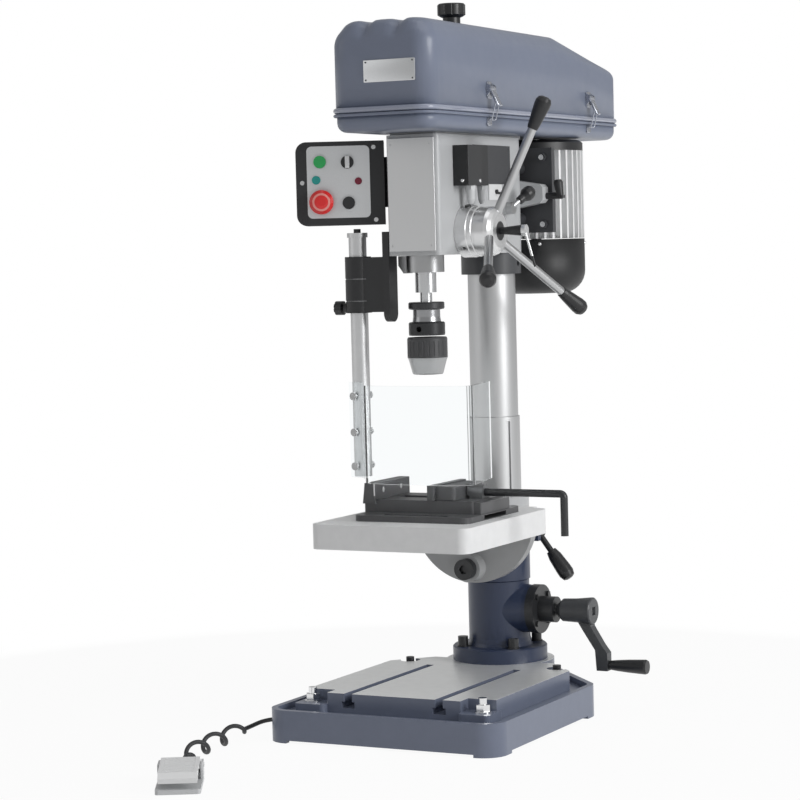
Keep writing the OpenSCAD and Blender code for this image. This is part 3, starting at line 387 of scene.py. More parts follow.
SPECIAL = {
    # black balls on the spokes, a black end cap and a black depth lock on the hub
    "feed_spokes": patchwork(
        "spoke_finish", ((0.50, 0.505, 0.51), 1.0, 0.3),
        (away(HUB, 0.15395), BLACK)),
    "feed_hub": patchwork(
        "hub_finish", ((0.74, 0.745, 0.75), 0.7, 0.26),
        (both(past(RIGHT, 0.0955), past(LEFT, -0.1306), near(HUB, 0.0135, ROUND_X)), BLACK),
        (away(HUB, 0.03605, ROUND_X), BLACK)),
    "tension_lever": patchwork(
        "tension_finish", ((0.46, 0.465, 0.47), 1.0, 0.3),
        (away(TENSION_PIVOT, 0.0181), BLACK)),
    # spindle and chuck: darkened steels, brighter where they are ground
    "chuck_sleeve": patchwork(
        "sleeve_finish", ((0.060, 0.061, 0.064), 0.3, 0.42),
        (past(DOWN, -0.5228), ((0.42, 0.425, 0.43), 0.8, 0.34))),
    "chuck_body": patchwork(
        "chuck_finish", ((0.36, 0.365, 0.375), 1.0, 0.28),
        (past(DOWN, -0.5735), ((0.035, 0.036, 0.038), 0.5, 0.36)),
        (past(UP, 0.5900), ((0.050, 0.051, 0.054), 0.5, 0.36))),
    "quill": metal("quill_steel", (0.40, 0.405, 0.41), 0.3),
    "quill_collar": metal("collar_steel", (0.38, 0.385, 0.39), 0.34),
    # guard: a black stud on top of the rod, pale bolts through it, two grooves in the bracket
    "guard_rod": patchwork(
        "guard_rod_finish", ((0.60, 0.605, 0.61), 1.0, 0.4),
        (past(UP, 0.69955), BLACK),
        (both(away(GUARD_AXIS, 0.0146, ROUND_Z), past(DOWN, -0.6)), ((0.66, 0.665, 0.67), 0.0, 0.3))),
    "guard_bracket": patchwork(
        "bracket_finish", ((0.014, 0.0145, 0.016), 0.0, 0.42),
        *[(both(past(UP, z + 0.00005), past(DOWN, -z - 0.00145), past(LEFT, 0.0795)),
           ((0.16, 0.162, 0.167), 0.0, 0.4)) for z in GROOVES]),
    # motor: a black top, a dark terminal box, and bolt heads on the plate
    "motor_body": patchwork(
        "motor_finish", ((0.80, 0.805, 0.81), 0.1, 0.45),
        (past(UP, 0.81705), BLACK),
        (past(LEFT, 0.0745), DARK)),
    "motor_plate": patchwork(
        "motor_plate_finish", DARK,
        *[(near(bolt, 0.0040, ROUND_Y), STEEL) for bolt in BOLTS]),
    # controls: screw heads, a green and a red lamp, a white pointer, a pale ring on the stop
    "control_box": patchwork(
        "control_box_finish", ((0.020, 0.021, 0.023), 0.0, 0.42),
        *[(near(at_panel(x, SCREW_FACE, z), 0.0033), STEEL) for x, z in PANEL_SCREWS],
        (near(at_panel(-95.7, LAMP_FACE, 774.5), 0.0078), ((0.02, 0.33, 0.30), 0.0, 0.2)),
        (near(at_panel(-36.6, LAMP_FACE, 772), 0.0068), ((0.20, 0.012, 0.035), 0.0, 0.2))),
    "selector_switch": patchwork(
        "selector_finish", BLACK,
        (both(proud(8.3), past(UP, 0.7895)), WHITE)),
    "emergency_stop": patchwork(
        "emergency_finish", ((0.72, 0.025, 0.025), 0.0, 0.28),
        (both(near(STOP_BUTTON, 0.0128), away(STOP_BUTTON, 0.0102)), ((0.80, 0.30, 0.27), 0.0, 0.3))),
    # on a dark plate: a black box whose front face is darker as painted shade, pale cord glands, a white tab
    # and its pointer
    "switch_cover": patchwork(
        "switch_cover_finish", DARK,
        (both(past(AHEAD, 0.1384), past(UP, 0.7613)), ((0.026, 0.027, 0.029), 0.0, 0.42)),
        # The front face is darker than the box's side only as painted shade.
        (both(past(AHEAD, 0.2030), past(UP, 0.7613)), ((0.009, 0.0095, 0.0105), 0.0, 0.42)),
        (past(DOWN, -GLANDS_TOP), ((0.62, 0.63, 0.64), 0.0, 0.3)),
        (both(past(BEHIND, -0.0915), past(DOWN, -TAB_TOP)), WHITE),
        (both(past(RIGHT, 0.0431), past(BEHIND, -0.08), past(DOWN, -TAB_TOP)), BLACK)),
    # castings, column and studs: the table is darker below, the base ground on top with its near white partly a
    # painted reflection, and the two rear studs are dull
    "head_collar": FINISH["dark_grey"],
    "column": metal("column_steel", (0.54, 0.545, 0.55), 0.40, (1.0, 1.0, 5.0)),
    "front_plate": metal("plate_brushed", (0.60, 0.605, 0.61), 0.36, (1.0, 1.0, 8.0), 700.0, 0.03),
    "table": patchwork(
        "table_finish", ((0.84, 0.845, 0.85), 0.0, 0.42),
        (past(DOWN, -0.2648), ((0.40, 0.405, 0.41), 0.0, 0.42))),
    "base_casting": patchwork(
        "base_finish", ((0.168, 0.192, 0.262), 0.0, 0.3),
        # The ground top is real bare metal, and its near white colour partly stands for a painted reflection of
        # the bright surroundings.
        (past(UP, 0.0651), ((0.92, 0.93, 0.925), 0.5, 0.32))),
    "anchor_studs": patchwork(
        "stud_finish", CHROME,
        (past(BEHIND, -0.2), ((0.05, 0.05, 0.055), 0.7, 0.4))),
    # vise: a lighter boss and jaw top, and a bright jaw plate
    "vise_body": patchwork(
        "vise_finish", ((0.085, 0.086, 0.090), 0.0, 0.4),
        (both(past(RIGHT, 0.0575), past(LEFT, -0.0825), past(UP, 0.3262)), ((0.16, 0.165, 0.17), 0.6, 0.4)),
        (both(past(RIGHT, -0.0662), past(LEFT, 0.0645), past(UP, 0.331)), STEEL)),
    "vise_jaw": patchwork(
        "vise_jaw_finish", ((0.085, 0.087, 0.091), 0.0, 0.42),
        (past(UP, 0.3468), ((0.22, 0.225, 0.23), 0.3, 0.4))),
    "foot_pedal": painted("pedal_tread", (0.84, 0.845, 0.85), 0.42, 0.04, 600.0, 0.1),
}


def finish_node(obj, finish):
    """One finish on every face of a CAD node."""
    if not obj.material_slots:
        obj.data.materials.append(finish)
    for s in obj.material_slots:
        s.link = "OBJECT"
        s.material = finish


slots = {row["node"]: row["material_slot"] for row in frame["record"]["subparts"]}
for name, obj in nodes.items():
    finish_node(obj, SPECIAL.get(name) or FINISH[slots[name]])
print("finishes on", len(nodes), "nodes")

# %% [markdown]
# ## Floor
# A wide, pale, flat disc, so that the machine can be seen from any side. It takes the machine's
# soft shadow, and away from the machine it turns to plain white, so that no edge shows.

# %% Floor
FLOOR_RADIUS = 9.0
SHADOW_CENTRE, SHADOW_NEAR, SHADOW_FAR = (-0.03, -0.30, 0), 0.45, 1.1
FLOOR_GLOW = 0.94  # the least share of white in the floor, close to the machine


def mesh_object(name, bm, material):
    """The mesh as a smooth object of the scene."""
    data = bpy.data.meshes.new(name)
    bm.to_mesh(data)
    bm.free()
    for p in data.polygons:
        p.use_smooth = True
    data.materials.append(material)
    obj = bpy.data.objects.new(name, data)
    bpy.context.scene.collection.objects.link(obj)
    return obj


def light_path(tree, *rays):
    """1 for the rays named, and 0 for the others."""
    path = tree.nodes.new("ShaderNodeLightPath")
    out = path.outputs[rays[0]]
    for ray in rays[1:]:
        out = math_node(tree, "MAXIMUM", out, path.outputs[ray])
    return out


def floor_material():
    """Matte near the machine, where it takes the shadow, and plain white further out."""
    m, tree, s = new_material("floor")
    set_shader(tree, s, Base_Color=(0.80, 0.80, 0.80), Roughness=0.9, Specular_IOR_Level=0.1)
    level = vector_node(tree, "MULTIPLY", coords(tree), ROUND_Z).outputs["Vector"]
    offset = vector_node(tree, "SUBTRACT", level, SHADOW_CENTRE).outputs["Vector"]
    reach = tree.nodes.new("ShaderNodeMapRange")
    reach.interpolation_type = "SMOOTHSTEP"
    reach.inputs["From Min"].default_value = SHADOW_NEAR
    reach.inputs["From Max"].default_value = SHADOW_FAR
    tree.links.new(vector_node(tree, "LENGTH", offset, ORIGIN).outputs["Value"], reach.inputs["Value"])
    seen = light_path(tree, "Is Camera Ray", "Is Glossy Ray", "Is Transmission Ray")
    glow = tree.nodes.new("ShaderNodeEmission")
    glow.inputs["Strength"].default_value = 1.0
    white = math_node(tree, "MAXIMUM", reach.outputs["Result"], FLOOR_GLOW)
    blend = tree.nodes.new("ShaderNodeMixShader")
    tree.links.new(math_node(tree, "MULTIPLY", seen, white), blend.inputs["Fac"])
    tree.links.new(s.outputs[0], blend.inputs[1])
    tree.links.new(glow.outputs[0], blend.inputs[2])
    tree.links.new(blend.outputs[0], tree.nodes["Material Output"].inputs["Surface"])
    return m


def make_floor():
    bm = bmesh.new()
    bmesh.ops.create_circle(bm, cap_ends=True, segments=64, radius=FLOOR_RADIUS)
    return mesh_object("floor", bm, floor_material())


floor = make_floor()
print("floor", [round(v, 2) for v in floor.dimensions])

# %% [markdown]
# ## Light
# One broad light over the machine and one on each side, the right one the strongest. The world
# is white to the camera and gives a weaker, even light, which keeps the shadows open.

# %% Light
MIRRORED, EVEN_LIGHT = 0.48, 0.34  # strength of the world in reflections, and on matte surfaces
LIGHTS = {  # place, aim, width, power in W
    "top_light": ((0.9, -0.3, 3.2), (0.0, -0.2, 0.4), 2.2, 12.0),
    "left_light": ((-2.6, -2.2, 1.6), (0.0, -0.2, 0.5), 2.0, 7.0),
    "right_light": ((3.2, -0.6, 1.5), (0.0, -0.1, 0.5), 1.8, 62.0),
}


def area_light(name, place, aim, size, power):
    data = bpy.data.lights.new(name, "AREA")
    data.shape, data.size, data.energy = "DISK", size, power
    obj = bpy.data.objects.new(name, data)
    obj.location = place
    obj.rotation_mode = "QUATERNION"
    obj.rotation_quaternion = (Vector(aim) - Vector(place)).to_track_quat("-Z", "Y")
    bpy.context.scene.collection.objects.link(obj)


def make_world():
    """White to the camera, a little weaker in reflections, and weaker still as a light."""
    world = bpy.data.worlds.new("world")
    world.use_nodes = True
    tree = world.node_tree
    back = tree.nodes["Background"]
    back.inputs["Color"].default_value = (1.0, 1.0, 1.0, 1.0)
    seen = light_path(tree, "Is Camera Ray", "Is Transmission Ray")
    glossy = math_node(tree, "MULTIPLY", light_path(tree, "Is Glossy Ray"), MIRRORED)
    level = math_node(tree, "MAXIMUM", seen, glossy)
    tree.links.new(math_node(tree, "MAXIMUM", level, EVEN_LIGHT), back.inputs["Strength"])
    bpy.context.scene.world = world


for name, settings in LIGHTS.items():
    area_light(name, *settings)
make_world()
bpy.context.scene.view_settings.view_transform = "Standard"
print(len(LIGHTS), "lights and a white world")

# %% [markdown]
# ## Foot switch cord
# A curly cord: a straight lead out of the base, a loose coil lying on the floor, and a short
# lead into the back of the foot switch. The coil winds about a smooth line through the route,
# and a round section is then swept along it.

# %% Cord
ROUTE = [(-0.178, -0.352, 0.024), (-0.190, -0.3525, 0.023), (-0.203, -0.358, 0.020), (-0.211, -0.372, 0.016),
         (-0.214, -0.390, 0.014), (-0.215, -0.415, 0.0133), (-0.214, -0.445, 0.0133), (-0.211, -0.475, 0.0133),
         (-0.207, -0.505, 0.0133), (-0.202, -0.535, 0.0133), (-0.196, -0.560, 0.0133), (-0.190, -0.578, 0.0135),
         (-0.184, -0.592, 0.013), (-0.176, -0.607, 0.012), (-0.166, -0.622, 0.011), (-0.1582, -0.6369, 0.011)]
ROUTE_STEPS = 8  # points of the line for one of the route
CORD_R, CORD_SIDES = 0.003, 12
COIL_R, COIL_TURNS, COIL_POINTS = 0.0098, 3.5, 150
LEAD_OUT, LEAD_IN, COIL_EASE = 0.055, 0.062, 0.02  # straight ends, and how soon the coil opens


def rise(t):
    """Smoothly from 0 at t = 0 to 1 at t = 1."""
    t = min(1.0, max(0.0, t))
    return t * t * (3 - 2 * t)


def smooth_line(points, steps):
    """Catmull-Rom points through the route."""
    p = [Vector(q) for q in points]
    p = [p[0] * 2 - p[1]] + p + [p[-1] * 2 - p[-2]]
    out = []
    for i in range(1, len(p) - 2):
        a, b, c, d = p[i - 1 : i + 3]
        for k in range(steps):
            t = k / steps
            bend = (2 * a - 5 * b + 4 * c - d) * t * t
            out.append(0.5 * ((2 * b) + (c - a) * t + bend + (3 * b - a - 3 * c + d) * t**3))
    out.append(p[-2])
    return out


def sweep(name, path, radius, material, sides):
    """A round tube along path, closed at both ends."""
    bm = bmesh.new()
    across = (path[1] - path[0]).normalized().orthogonal().normalized()
    rings = []
    for i, p in enumerate(path):
        t = (path[min(i + 1, len(path) - 1)] - path[max(i - 1, 0)]).normalized()
        across = (across - t * across.dot(t)).normalized()
        other = t.cross(across)
        angles = [2 * math.pi * k / sides for k in range(sides)]
        rings.append([bm.verts.new(p + radius * (math.cos(a) * across + math.sin(a) * other)) for a in angles])
    for a, b in zip(rings, rings[1:]):
        for k in range(sides):
            bm.faces.new((a[k], a[(k + 1) % sides], b[(k + 1) % sides], b[k]))
    bm.faces.new(list(reversed(rings[0])))
    bm.faces.new(rings[-1])
    bm.normal_update()
    return mesh_object(name, bm, material)


def coil_path():
    """The cord's middle line, spaced evenly along the route, with the coil wound about it."""
    line = smooth_line(ROUTE, ROUTE_STEPS)
    lengths = [0.0]
    for a, b in zip(line, line[1:]):
        lengths.append(lengths[-1] + (b - a).length)
    total = lengths[-1]
    start, end = LEAD_OUT, total - LEAD_IN
    out = []
    for i in range(COIL_POINTS + 1):
        s = total * i / COIL_POINTS
        j = max(k for k in range(len(lengths)) if lengths[k] <= s + 1e-9)
        j = min(j, len(line) - 2)
        p = line[j].lerp(line[j + 1], (s - lengths[j]) / (lengths[j + 1] - lengths[j]))
        t = (line[j + 1] - line[j]).normalized()
        side = Vector((-t.y, t.x, 0)).normalized()
        up = side.cross(t)
        ease = min(1.0, max(0.0, (s - start) / COIL_EASE)) * min(1.0, max(0.0, (end - s) / COIL_EASE))
        a = 2 * math.pi * COIL_TURNS * (s - start) / (end - start)
        out.append(p + COIL_R * rise(ease) * (math.cos(a) * up + math.sin(a) * side))
    return out


cord_line = coil_path()
cord = sweep("foot_cord", cord_line, CORD_R, FINISH["cord_rubber"], CORD_SIDES)
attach(cord, "base")
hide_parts("curly_cord")

# %% [markdown]
# ## Rounded edges on the CAD solids
# Cast and pressed parts have no knife edges. A Bevel modifier that acts only where two faces meet
# at more than 40 degrees rounds them, each part by the radius that its process leaves.

# %% Rounded edges
SHARP = math.radians(40)
EDGES = {  # radius and segments
    "base_casting": (0.0022, 3), "table": (0.0020, 3), "head_casting": (0.0016, 2),
    "column_socket": (0.0012, 2), "swivel_ring": (0.0010, 2), "vise_jaw": (0.0008, 2),
    "vise_body": (0.0008, 2), "control_box": (0.0012, 2), "motor_plate": (0.0008, 2),
    "guard_bracket": (0.0010, 2), "crank_arm": (0.0010, 2), "column_cap_ring": (0.0006, 2),
    "head_collar": (0.0008, 2), "foot_switch": (0.0008, 2), "foot_pedal": (0.0006, 2),
    "switch_cover": (0.0005, 2), "tension_bracket": (0.0010, 2), "guard_shield": (0.0004, 2),
}


def soften(obj, width, segments):
    b = obj.modifiers.new("edge", "BEVEL")
    b.width, b.segments = width, segments
    b.limit_method, b.angle_limit = "ANGLE", SHARP


for name, (width, segments) in EDGES.items():
    soften(nodes[name], width, segments)
print("rounded", len(EDGES), "nodes")

# %% [markdown]
# ## Blocks with rounded corners
# Sheet covers, plates and small brackets all start as a cube: its upright edges are bevelled to
# the corner radius, and a second bevel takes the sharp edge off the top and bottom. Bars are
# cylinders whose two rims are bevelled in the same way.

# %% Block helpers
def block(low, high):
    """A cube stretched to fill the box from low to high."""
    bm = bmesh.new()
    bmesh.ops.create_cube(bm, size=1.0)
    size = [h - l for l, h in zip(low, high)]
    middle = [(h + l) / 2 for l, h in zip(low, high)]
    bmesh.ops.scale(bm, verts=bm.verts, vec=size)
    bmesh.ops.translate(bm, verts=bm.verts, vec=middle)
    return bm


def bevel(bm, edges, offset, segments):
    return bmesh.ops.bevel(bm, geom=list(edges), offset=offset, segments=segments, profile=0.5,
                           affect="EDGES", material=-1)


def slice_at(bm, place, normal, **keep):
    """Cut every face where it crosses a plane. clear_outer=True also drops what lies past it."""
    bmesh.ops.bisect_plane(bm, geom=bm.verts[:] + bm.edges[:] + bm.faces[:],
                           plane_co=place, plane_no=normal, **keep)


def turn_about(bm, centre, degrees, axis):
    bmesh.ops.rotate(bm, verts=bm.verts, cent=centre, matrix=Matrix.Rotation(math.radians(degrees), 3, axis))


def along(edge, axis):
    """Whether an edge runs along an axis, 0 to 2."""
    d = edge.verts[1].co - edge.verts[0].co
    return abs(d[axis]) > 0.999 * d.length


def edges_of(faces):
    return {e for f in faces for e in f.edges}


def rounded_block(low, high, corner, axis=2, segments=6, rim=0.0, rim_segments=2):
    """A block with its edges along axis rounded by corner, and its two rims by rim."""
    bm = block(low, high)
    bevel(bm, [e for e in bm.edges if along(e, axis)], corner, segments)
    if rim:
        bevel(bm, edges_of(f for f in bm.faces if abs(f.normal[axis]) > 0.99), rim, rim_segments)
    return bm


def round_bar(start, end, radius, sides=20, tip=None, rim=0.0):
    """A cylinder, or a cone if tip is given, from start to end."""
    bm = bmesh.new()
    start, end = Vector(start), Vector(end)
    v = end - start
    turn = v.to_track_quat("Z", "Y").to_matrix().to_4x4()
    bmesh.ops.create_cone(bm, cap_ends=True, segments=sides, radius1=radius,
                          radius2=radius if tip is None else tip, depth=v.length)
    if rim:
        bevel(bm, edges_of(f for f in bm.faces if len(f.verts) > 4), rim, 2)
    bmesh.ops.transform(bm, verts=bm.verts, matrix=Matrix.Translation((start + end) / 2) @ turn)
    return bm


def joined(*parts):
    """Several meshes as one."""
    out = bmesh.new()
    for part in parts:
        data = bpy.data.meshes.new("part")
        part.to_mesh(data)
        part.free()
        out.from_mesh(data)
        bpy.data.meshes.remove(data)
    return out


# %% [markdown]
# A piece is smooth but for its sharp edges, and rides on a body. Sheet is modelled as its outer
# face alone: a Solidify modifier gives it its gauge inwards, and a Boolean cuts its holes.

# %% Piece helpers
def piece(name, bm, material, body, degrees=32):
    """A finished piece: smooth but for edges sharper than degrees, riding on a body."""
    bm.normal_update()
    for e in bm.edges:
        e.smooth = e.calc_face_angle(0.0) < math.radians(degrees)
    obj = mesh_object(name, bm, material)
    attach(obj, body)
    return obj


def thicken(obj, gauge):
    skin = obj.modifiers.new("skin", "SOLIDIFY")
    skin.thickness, skin.offset = gauge, -1.0


def mesh_of(obj):
    """The object's mesh with its modifiers, or its curve as a mesh."""
    bpy.context.view_layer.update()
    return bpy.data.meshes.new_from_object(obj.evaluated_get(bpy.context.evaluated_depsgraph_get()))


def cut_away(obj, shape):
    """Cut a shape out with a Boolean, which is applied with the modifiers before it."""
    cutter = mesh_object("cutter", shape, FINISH["ground_steel"])
    cut = obj.modifiers.new("hole", "BOOLEAN")
    cut.operation, cut.object, cut.solver = "DIFFERENCE", cutter, "EXACT"
    done = mesh_of(obj)
    obj.modifiers.clear()
    obj.data = done
    bpy.data.objects.remove(cutter)


def bore(obj, centre, radius, z0, z1):
    """A round hole along Z."""
    cut_away(obj, round_bar((*centre, z0), (*centre, z1), radius, 32))


def span(obj):
    """The piece's lowest and highest corner, in mm."""
    places = [v.co for v in obj.data.vertices]
    return [[round(1000 * pick(p[i] for p in places), 1) for i in range(3)] for pick in (min, max)]


# %% [markdown]
# ## Belt cover
# A deep pressed cover. It starts as a block whose upright corners are rounded. The top is drawn
# up and narrowed to the crown, which falls away at the back, and both rims are bevelled round.
# Then the front of the crown is cut into strips, and two soft valleys are pushed down so that
# three lobes stand between them. Last, the open underside is removed, and the skin is given
# 2 mm.

# %% Belt cover
SKIN_LOW, SHOULDER, CROWN = 0.8613, 0.962, 0.9868  # heights of the lip, the shoulder and the top
FRONT, BACK, KNEE = -0.3405, 0.3185, 0.105  # along Y; behind the knee the cover falls away
HALF, CORNER, FALL = 0.0772, 0.026, 0.026
SHOULDER_ROUND, CROWN_ROUND = 0.009, 0.0105
CROWN_SHARE, CROWN_PULL, CROWN_DIP, CROWN_FALL = 0.78, 0.012, 0.002, 0.040
LEVEL_FROM, DIP_OVER, PULL_OVER = -0.2, 0.3, 0.1  # along Y, where the crown's front part ends
STRIP, STRIPS, LOBE_CUTS = 0.006, 11, (-0.315, -0.295, -0.272)
VALLEY_X, VALLEY_WIDTH, VALLEY_DROP, VALLEY_PUSH = 0.024, 0.0075, 0.0050, 0.0035
VALLEY_Z, VALLEY_HEIGHT, VALLEY_END, VALLEY_RUN = 0.956, 0.018, -0.262, 0.06  # where they fade in
COVER_GAUGE, KNOB_Y, KNOB_BORE = 0.002, -0.112, 0.0068
MERGE = 2e-5  # vertices closer than this become one


def behind_knee(y):
    """0 up to the knee, and 1 at the back."""
    return max(0.0, (y - KNEE) / (BACK - KNEE))


def rim_of(faces):
    """The edges between these faces and all others."""
    return {e for e in edges_of(faces) if any(g not in faces for g in e.link_faces)}


def cover_box():
    """The block with round corners, its top sloping down behind the knee."""
    bm = block((-HALF, FRONT, SKIN_LOW), (HALF, BACK, SHOULDER))
    slice_at(bm, (0, KNEE, 0), BEHIND)
    bevel(bm, [e for e in bm.edges if along(e, 2) and abs(e.verts[0].co.y - KNEE) > 0.1], CORNER, 6)
    for v in bm.verts:
        if v.co.z > SHOULDER - 0.001 and v.co.y > KNEE + 0.01:
            v.co.z -= FALL * behind_knee(v.co.y)
    return bm


def draw_crown(bm):
    """Draw the top up to the crown, and round the two rims that this leaves."""
    top = [f for f in bm.faces if f.normal.z > 0.9]
    drawn = bmesh.ops.extrude_face_region(bm, geom=top)["geom"]
    bmesh.ops.delete(bm, geom=top, context="FACES")
    for v in [g for g in drawn if isinstance(g, bmesh.types.BMVert)]:
        back = behind_knee(v.co.y)
        v.co.z = CROWN - CROWN_DIP * rise((v.co.y - LEVEL_FROM) / DIP_OVER) - CROWN_FALL * back
        v.co.x *= CROWN_SHARE
        v.co.y += CROWN_PULL * rise((LEVEL_FROM - v.co.y) / PULL_OVER) - CROWN_PULL * back
    bevel(bm, rim_of([g for g in drawn if isinstance(g, bmesh.types.BMFace)]), CROWN_ROUND, 5)
    seam = [e for e in bm.edges if len(e.link_faces) == 2
            and all(abs(v.co.z - SHOULDER + FALL * behind_knee(v.co.y)) < 0.0004 for v in e.verts)]
    bevel(bm, seam, SHOULDER_ROUND, 4)


def press_lobes(bm):
    """Cut the top into strips, and push two valleys into its front."""
    for k in range(-STRIPS, STRIPS + 1):
        slice_at(bm, (STRIP * k, 0, 0), RIGHT)
    for y in LOBE_CUTS:
        slice_at(bm, (0, y, 0), BEHIND)
    for v in bm.verts:
        valley = math.exp(-(((abs(v.co.x) - VALLEY_X) / VALLEY_WIDTH) ** 2))
        depth = valley * rise((v.co.z - VALLEY_Z) / VALLEY_HEIGHT) * rise((VALLEY_END - v.co.y) / VALLEY_RUN)
        v.co.z -= VALLEY_DROP * depth
        v.co.y += VALLEY_PUSH * depth


def make_cover():
    bm = cover_box()
    draw_crown(bm)
    press_lobes(bm)
    bmesh.ops.delete(bm, geom=[f for f in bm.faces if f.normal.z < -0.9], context="FACES")
    bmesh.ops.remove_doubles(bm, verts=bm.verts, dist=MERGE)
    bmesh.ops.dissolve_degenerate(bm, dist=MERGE, edges=bm.edges)
    bmesh.ops.recalc_face_normals(bm, faces=bm.faces)
    return bm


cover = piece("cover_shell", make_cover(), FINISH["cover_blue"], "cover", 40)
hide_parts("hood")
thicken(cover, COVER_GAUGE)
bore(cover, (0.0, KNOB_Y), KNOB_BORE, 0.95, 1.0)
print("cover", len(cover.data.polygons), "faces", *span(cover))

# %% [markdown]
# ## Rolled rims
# Cover and pan meet in two rolled rims. Each starts as a thin block with round corners. Its top
# and bottom are inset, the middle is taken out and the hole's wall is bridged. The outer edges of
# the ring that is left are bevelled to the roll.

# %% Rolled rims
RIM_HALF, RIM_FRONT, RIM_BACK = 0.0796, -0.345, 0.3226
RIM_MIDDLE, RIM_REACH = -0.0112, 0.3338  # its middle, and half its length along Y
RIM_CORNER, RIM_BAND = 0.027, 0.0075


def on_outside(v):
    """Whether a vertex of the ring lies on its outer wall."""
    return max(abs(v.co.x) / RIM_HALF, abs(v.co.y - RIM_MIDDLE) / RIM_REACH) > 0.9


def rolled_rim(z0, z1, roll):
    bm = rounded_block((-RIM_HALF, RIM_FRONT, z0), (RIM_HALF, RIM_BACK, z1), RIM_CORNER, 2, 8)
    caps = [f for f in bm.faces if abs(f.normal.z) > 0.99]
    bmesh.ops.inset_individual(bm, faces=caps, thickness=RIM_BAND, use_even_offset=True)
    middle = [f for f in bm.faces if abs(f.normal.z) > 0.99 and len(f.verts) > 8]
    bmesh.ops.delete(bm, geom=middle, context="FACES")
    bmesh.ops.bridge_loops(bm, edges=[e for e in bm.edges if e.is_boundary])
    outer = [e for e in bm.edges if not along(e, 2) and abs(e.calc_face_angle(0.0) - math.pi / 2) < 0.2
             and all(on_outside(v) for v in e.verts)]
    bevel(bm, outer, roll, 4)
    bmesh.ops.recalc_face_normals(bm, faces=bm.faces)
    return bm


# The cover's rim wears the lighter blue of the painted highlight along its roll.
cover_rim = piece("cover_rim", rolled_rim(SKIN_LOW, 0.8690, 0.0036), FINISH["rim_blue"], "cover", 50)
print("rim", len(cover_rim.data.polygons), "faces")

# %% [markdown]
# ## Belt pan
# The pan under the cover is one pressed tray. It is the lower half of a rounded block: the
# bottom rim is bevelled to a 13 mm round, the block is cut off level at the joint, and the
# sheet is given 3 mm. Two bores let the spindle and the motor shaft through.

# %% Belt pan
PAN_HALF, PAN_FRONT, PAN_BACK = 0.0762, -0.3402, 0.3182
PAN_FLOOR, PAN_JOINT, BLOCK_TOP = 0.836, 0.8572, 0.880  # heights
PAN_ROUND, PAN_GAUGE = 0.013, 0.003
SPINDLE_Y, SPINDLE_BORE = -0.2146, 0.019
MOTOR_Y, MOTOR_BORE = 0.164, 0.020
BORE_LOW, BORE_HIGH = 0.82, 0.85

tray = rounded_block((-PAN_HALF, PAN_FRONT, PAN_FLOOR), (PAN_HALF, PAN_BACK, BLOCK_TOP),
                     CORNER, 2, 8, PAN_ROUND, 5)
slice_at(tray, (0, 0, PAN_JOINT), UP, clear_outer=True)
pan = piece("pan_shell", tray, FINISH["cover_blue"], "head", 40)
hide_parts("belt_pan")
thicken(pan, PAN_GAUGE)
bore(pan, (0.0, SPINDLE_Y), SPINDLE_BORE, BORE_LOW, BORE_HIGH)
bore(pan, (0.0, MOTOR_Y), MOTOR_BORE, BORE_LOW, BORE_HIGH)
pan_rim = piece("pan_rim", rolled_rim(0.8564, 0.8607, 0.0020), FINISH["cover_blue"], "head", 50)
print("pan", len(pan.data.polygons), "faces")

# %% [markdown]
# ## Hinges
# Two steel hinges on the far side. The middle knuckle of each stays with the pan. The two outer
# ones and the pin turn with the cover, and short leaves run from them to the sheet.

# %% Hinges
HINGE_X, HINGE_Z = -0.084, 0.860
KNUCKLE_R, PIN_R = 0.0039, 0.0019
LEAF_END = -0.0765
HINGES, OUTER_KNUCKLES = (-205, 165), (-205, -174.6, 165, 195.4)  # mm, their front ends


def hinge_bar(y0, y1, radius=KNUCKLE_R, rim=0.0004):
    """A round bar on the hinge line, from y0 to y1 in mm."""
    return round_bar((HINGE_X, y0 / 1000, HINGE_Z), (HINGE_X, y1 / 1000, HINGE_Z), radius, rim=rim)


halves = [hinge_bar(y + 15.5, y + 29.8) for y in HINGES]
tabs = [block((-0.0835, (y + 15.5) / 1000, 0.8562), (LEAF_END, (y + 29.8) / 1000, 0.8592)) for y in HINGES]
piece("pan_hinges", joined(*halves, *tabs), FINISH["ground_steel"], "head")
knuckles = [hinge_bar(y, y + 14.9) for y in OUTER_KNUCKLES]
leaves = [block((-0.0855, y / 1000, 0.8618), (LEAF_END, (y + 14.9) / 1000, 0.8638)) for y in OUTER_KNUCKLES]
pins = [hinge_bar(y - 0.6, y + 45.6, PIN_R, 0.0) for y in HINGES]
piece("cover_hinges", joined(*knuckles, *leaves, *pins), FINISH["ground_steel"], "cover")
print("hinges", len(HINGES))

# %% [markdown]
# ## Blank plate and screw heads
# The thin metal plate on the front of the cover is left blank, and four small screws hold it.
# Two bright ones close the switch box. A screw head is a low cone with its edges bevelled.

# %% Blank plate and screw heads
PLATE_LOW, PLATE_HIGH, PLATE_CORNER = (-0.022, -0.3425, 0.9010), (0.056, -0.3400, 0.9310), 0.0012
PLATE_SCREW_X, PLATE_SCREW_Z = (-0.0185, 0.0525), (0.9040, 0.9280)
PLATE_SCREW = (0.0014, 12, 0.0010, 0.0003)  # radius, sides, radius of its top, edge
SWITCH_SCREW = (0.0030, 14, 0.0022, 0.0004)
SWITCH_Z = 0.768

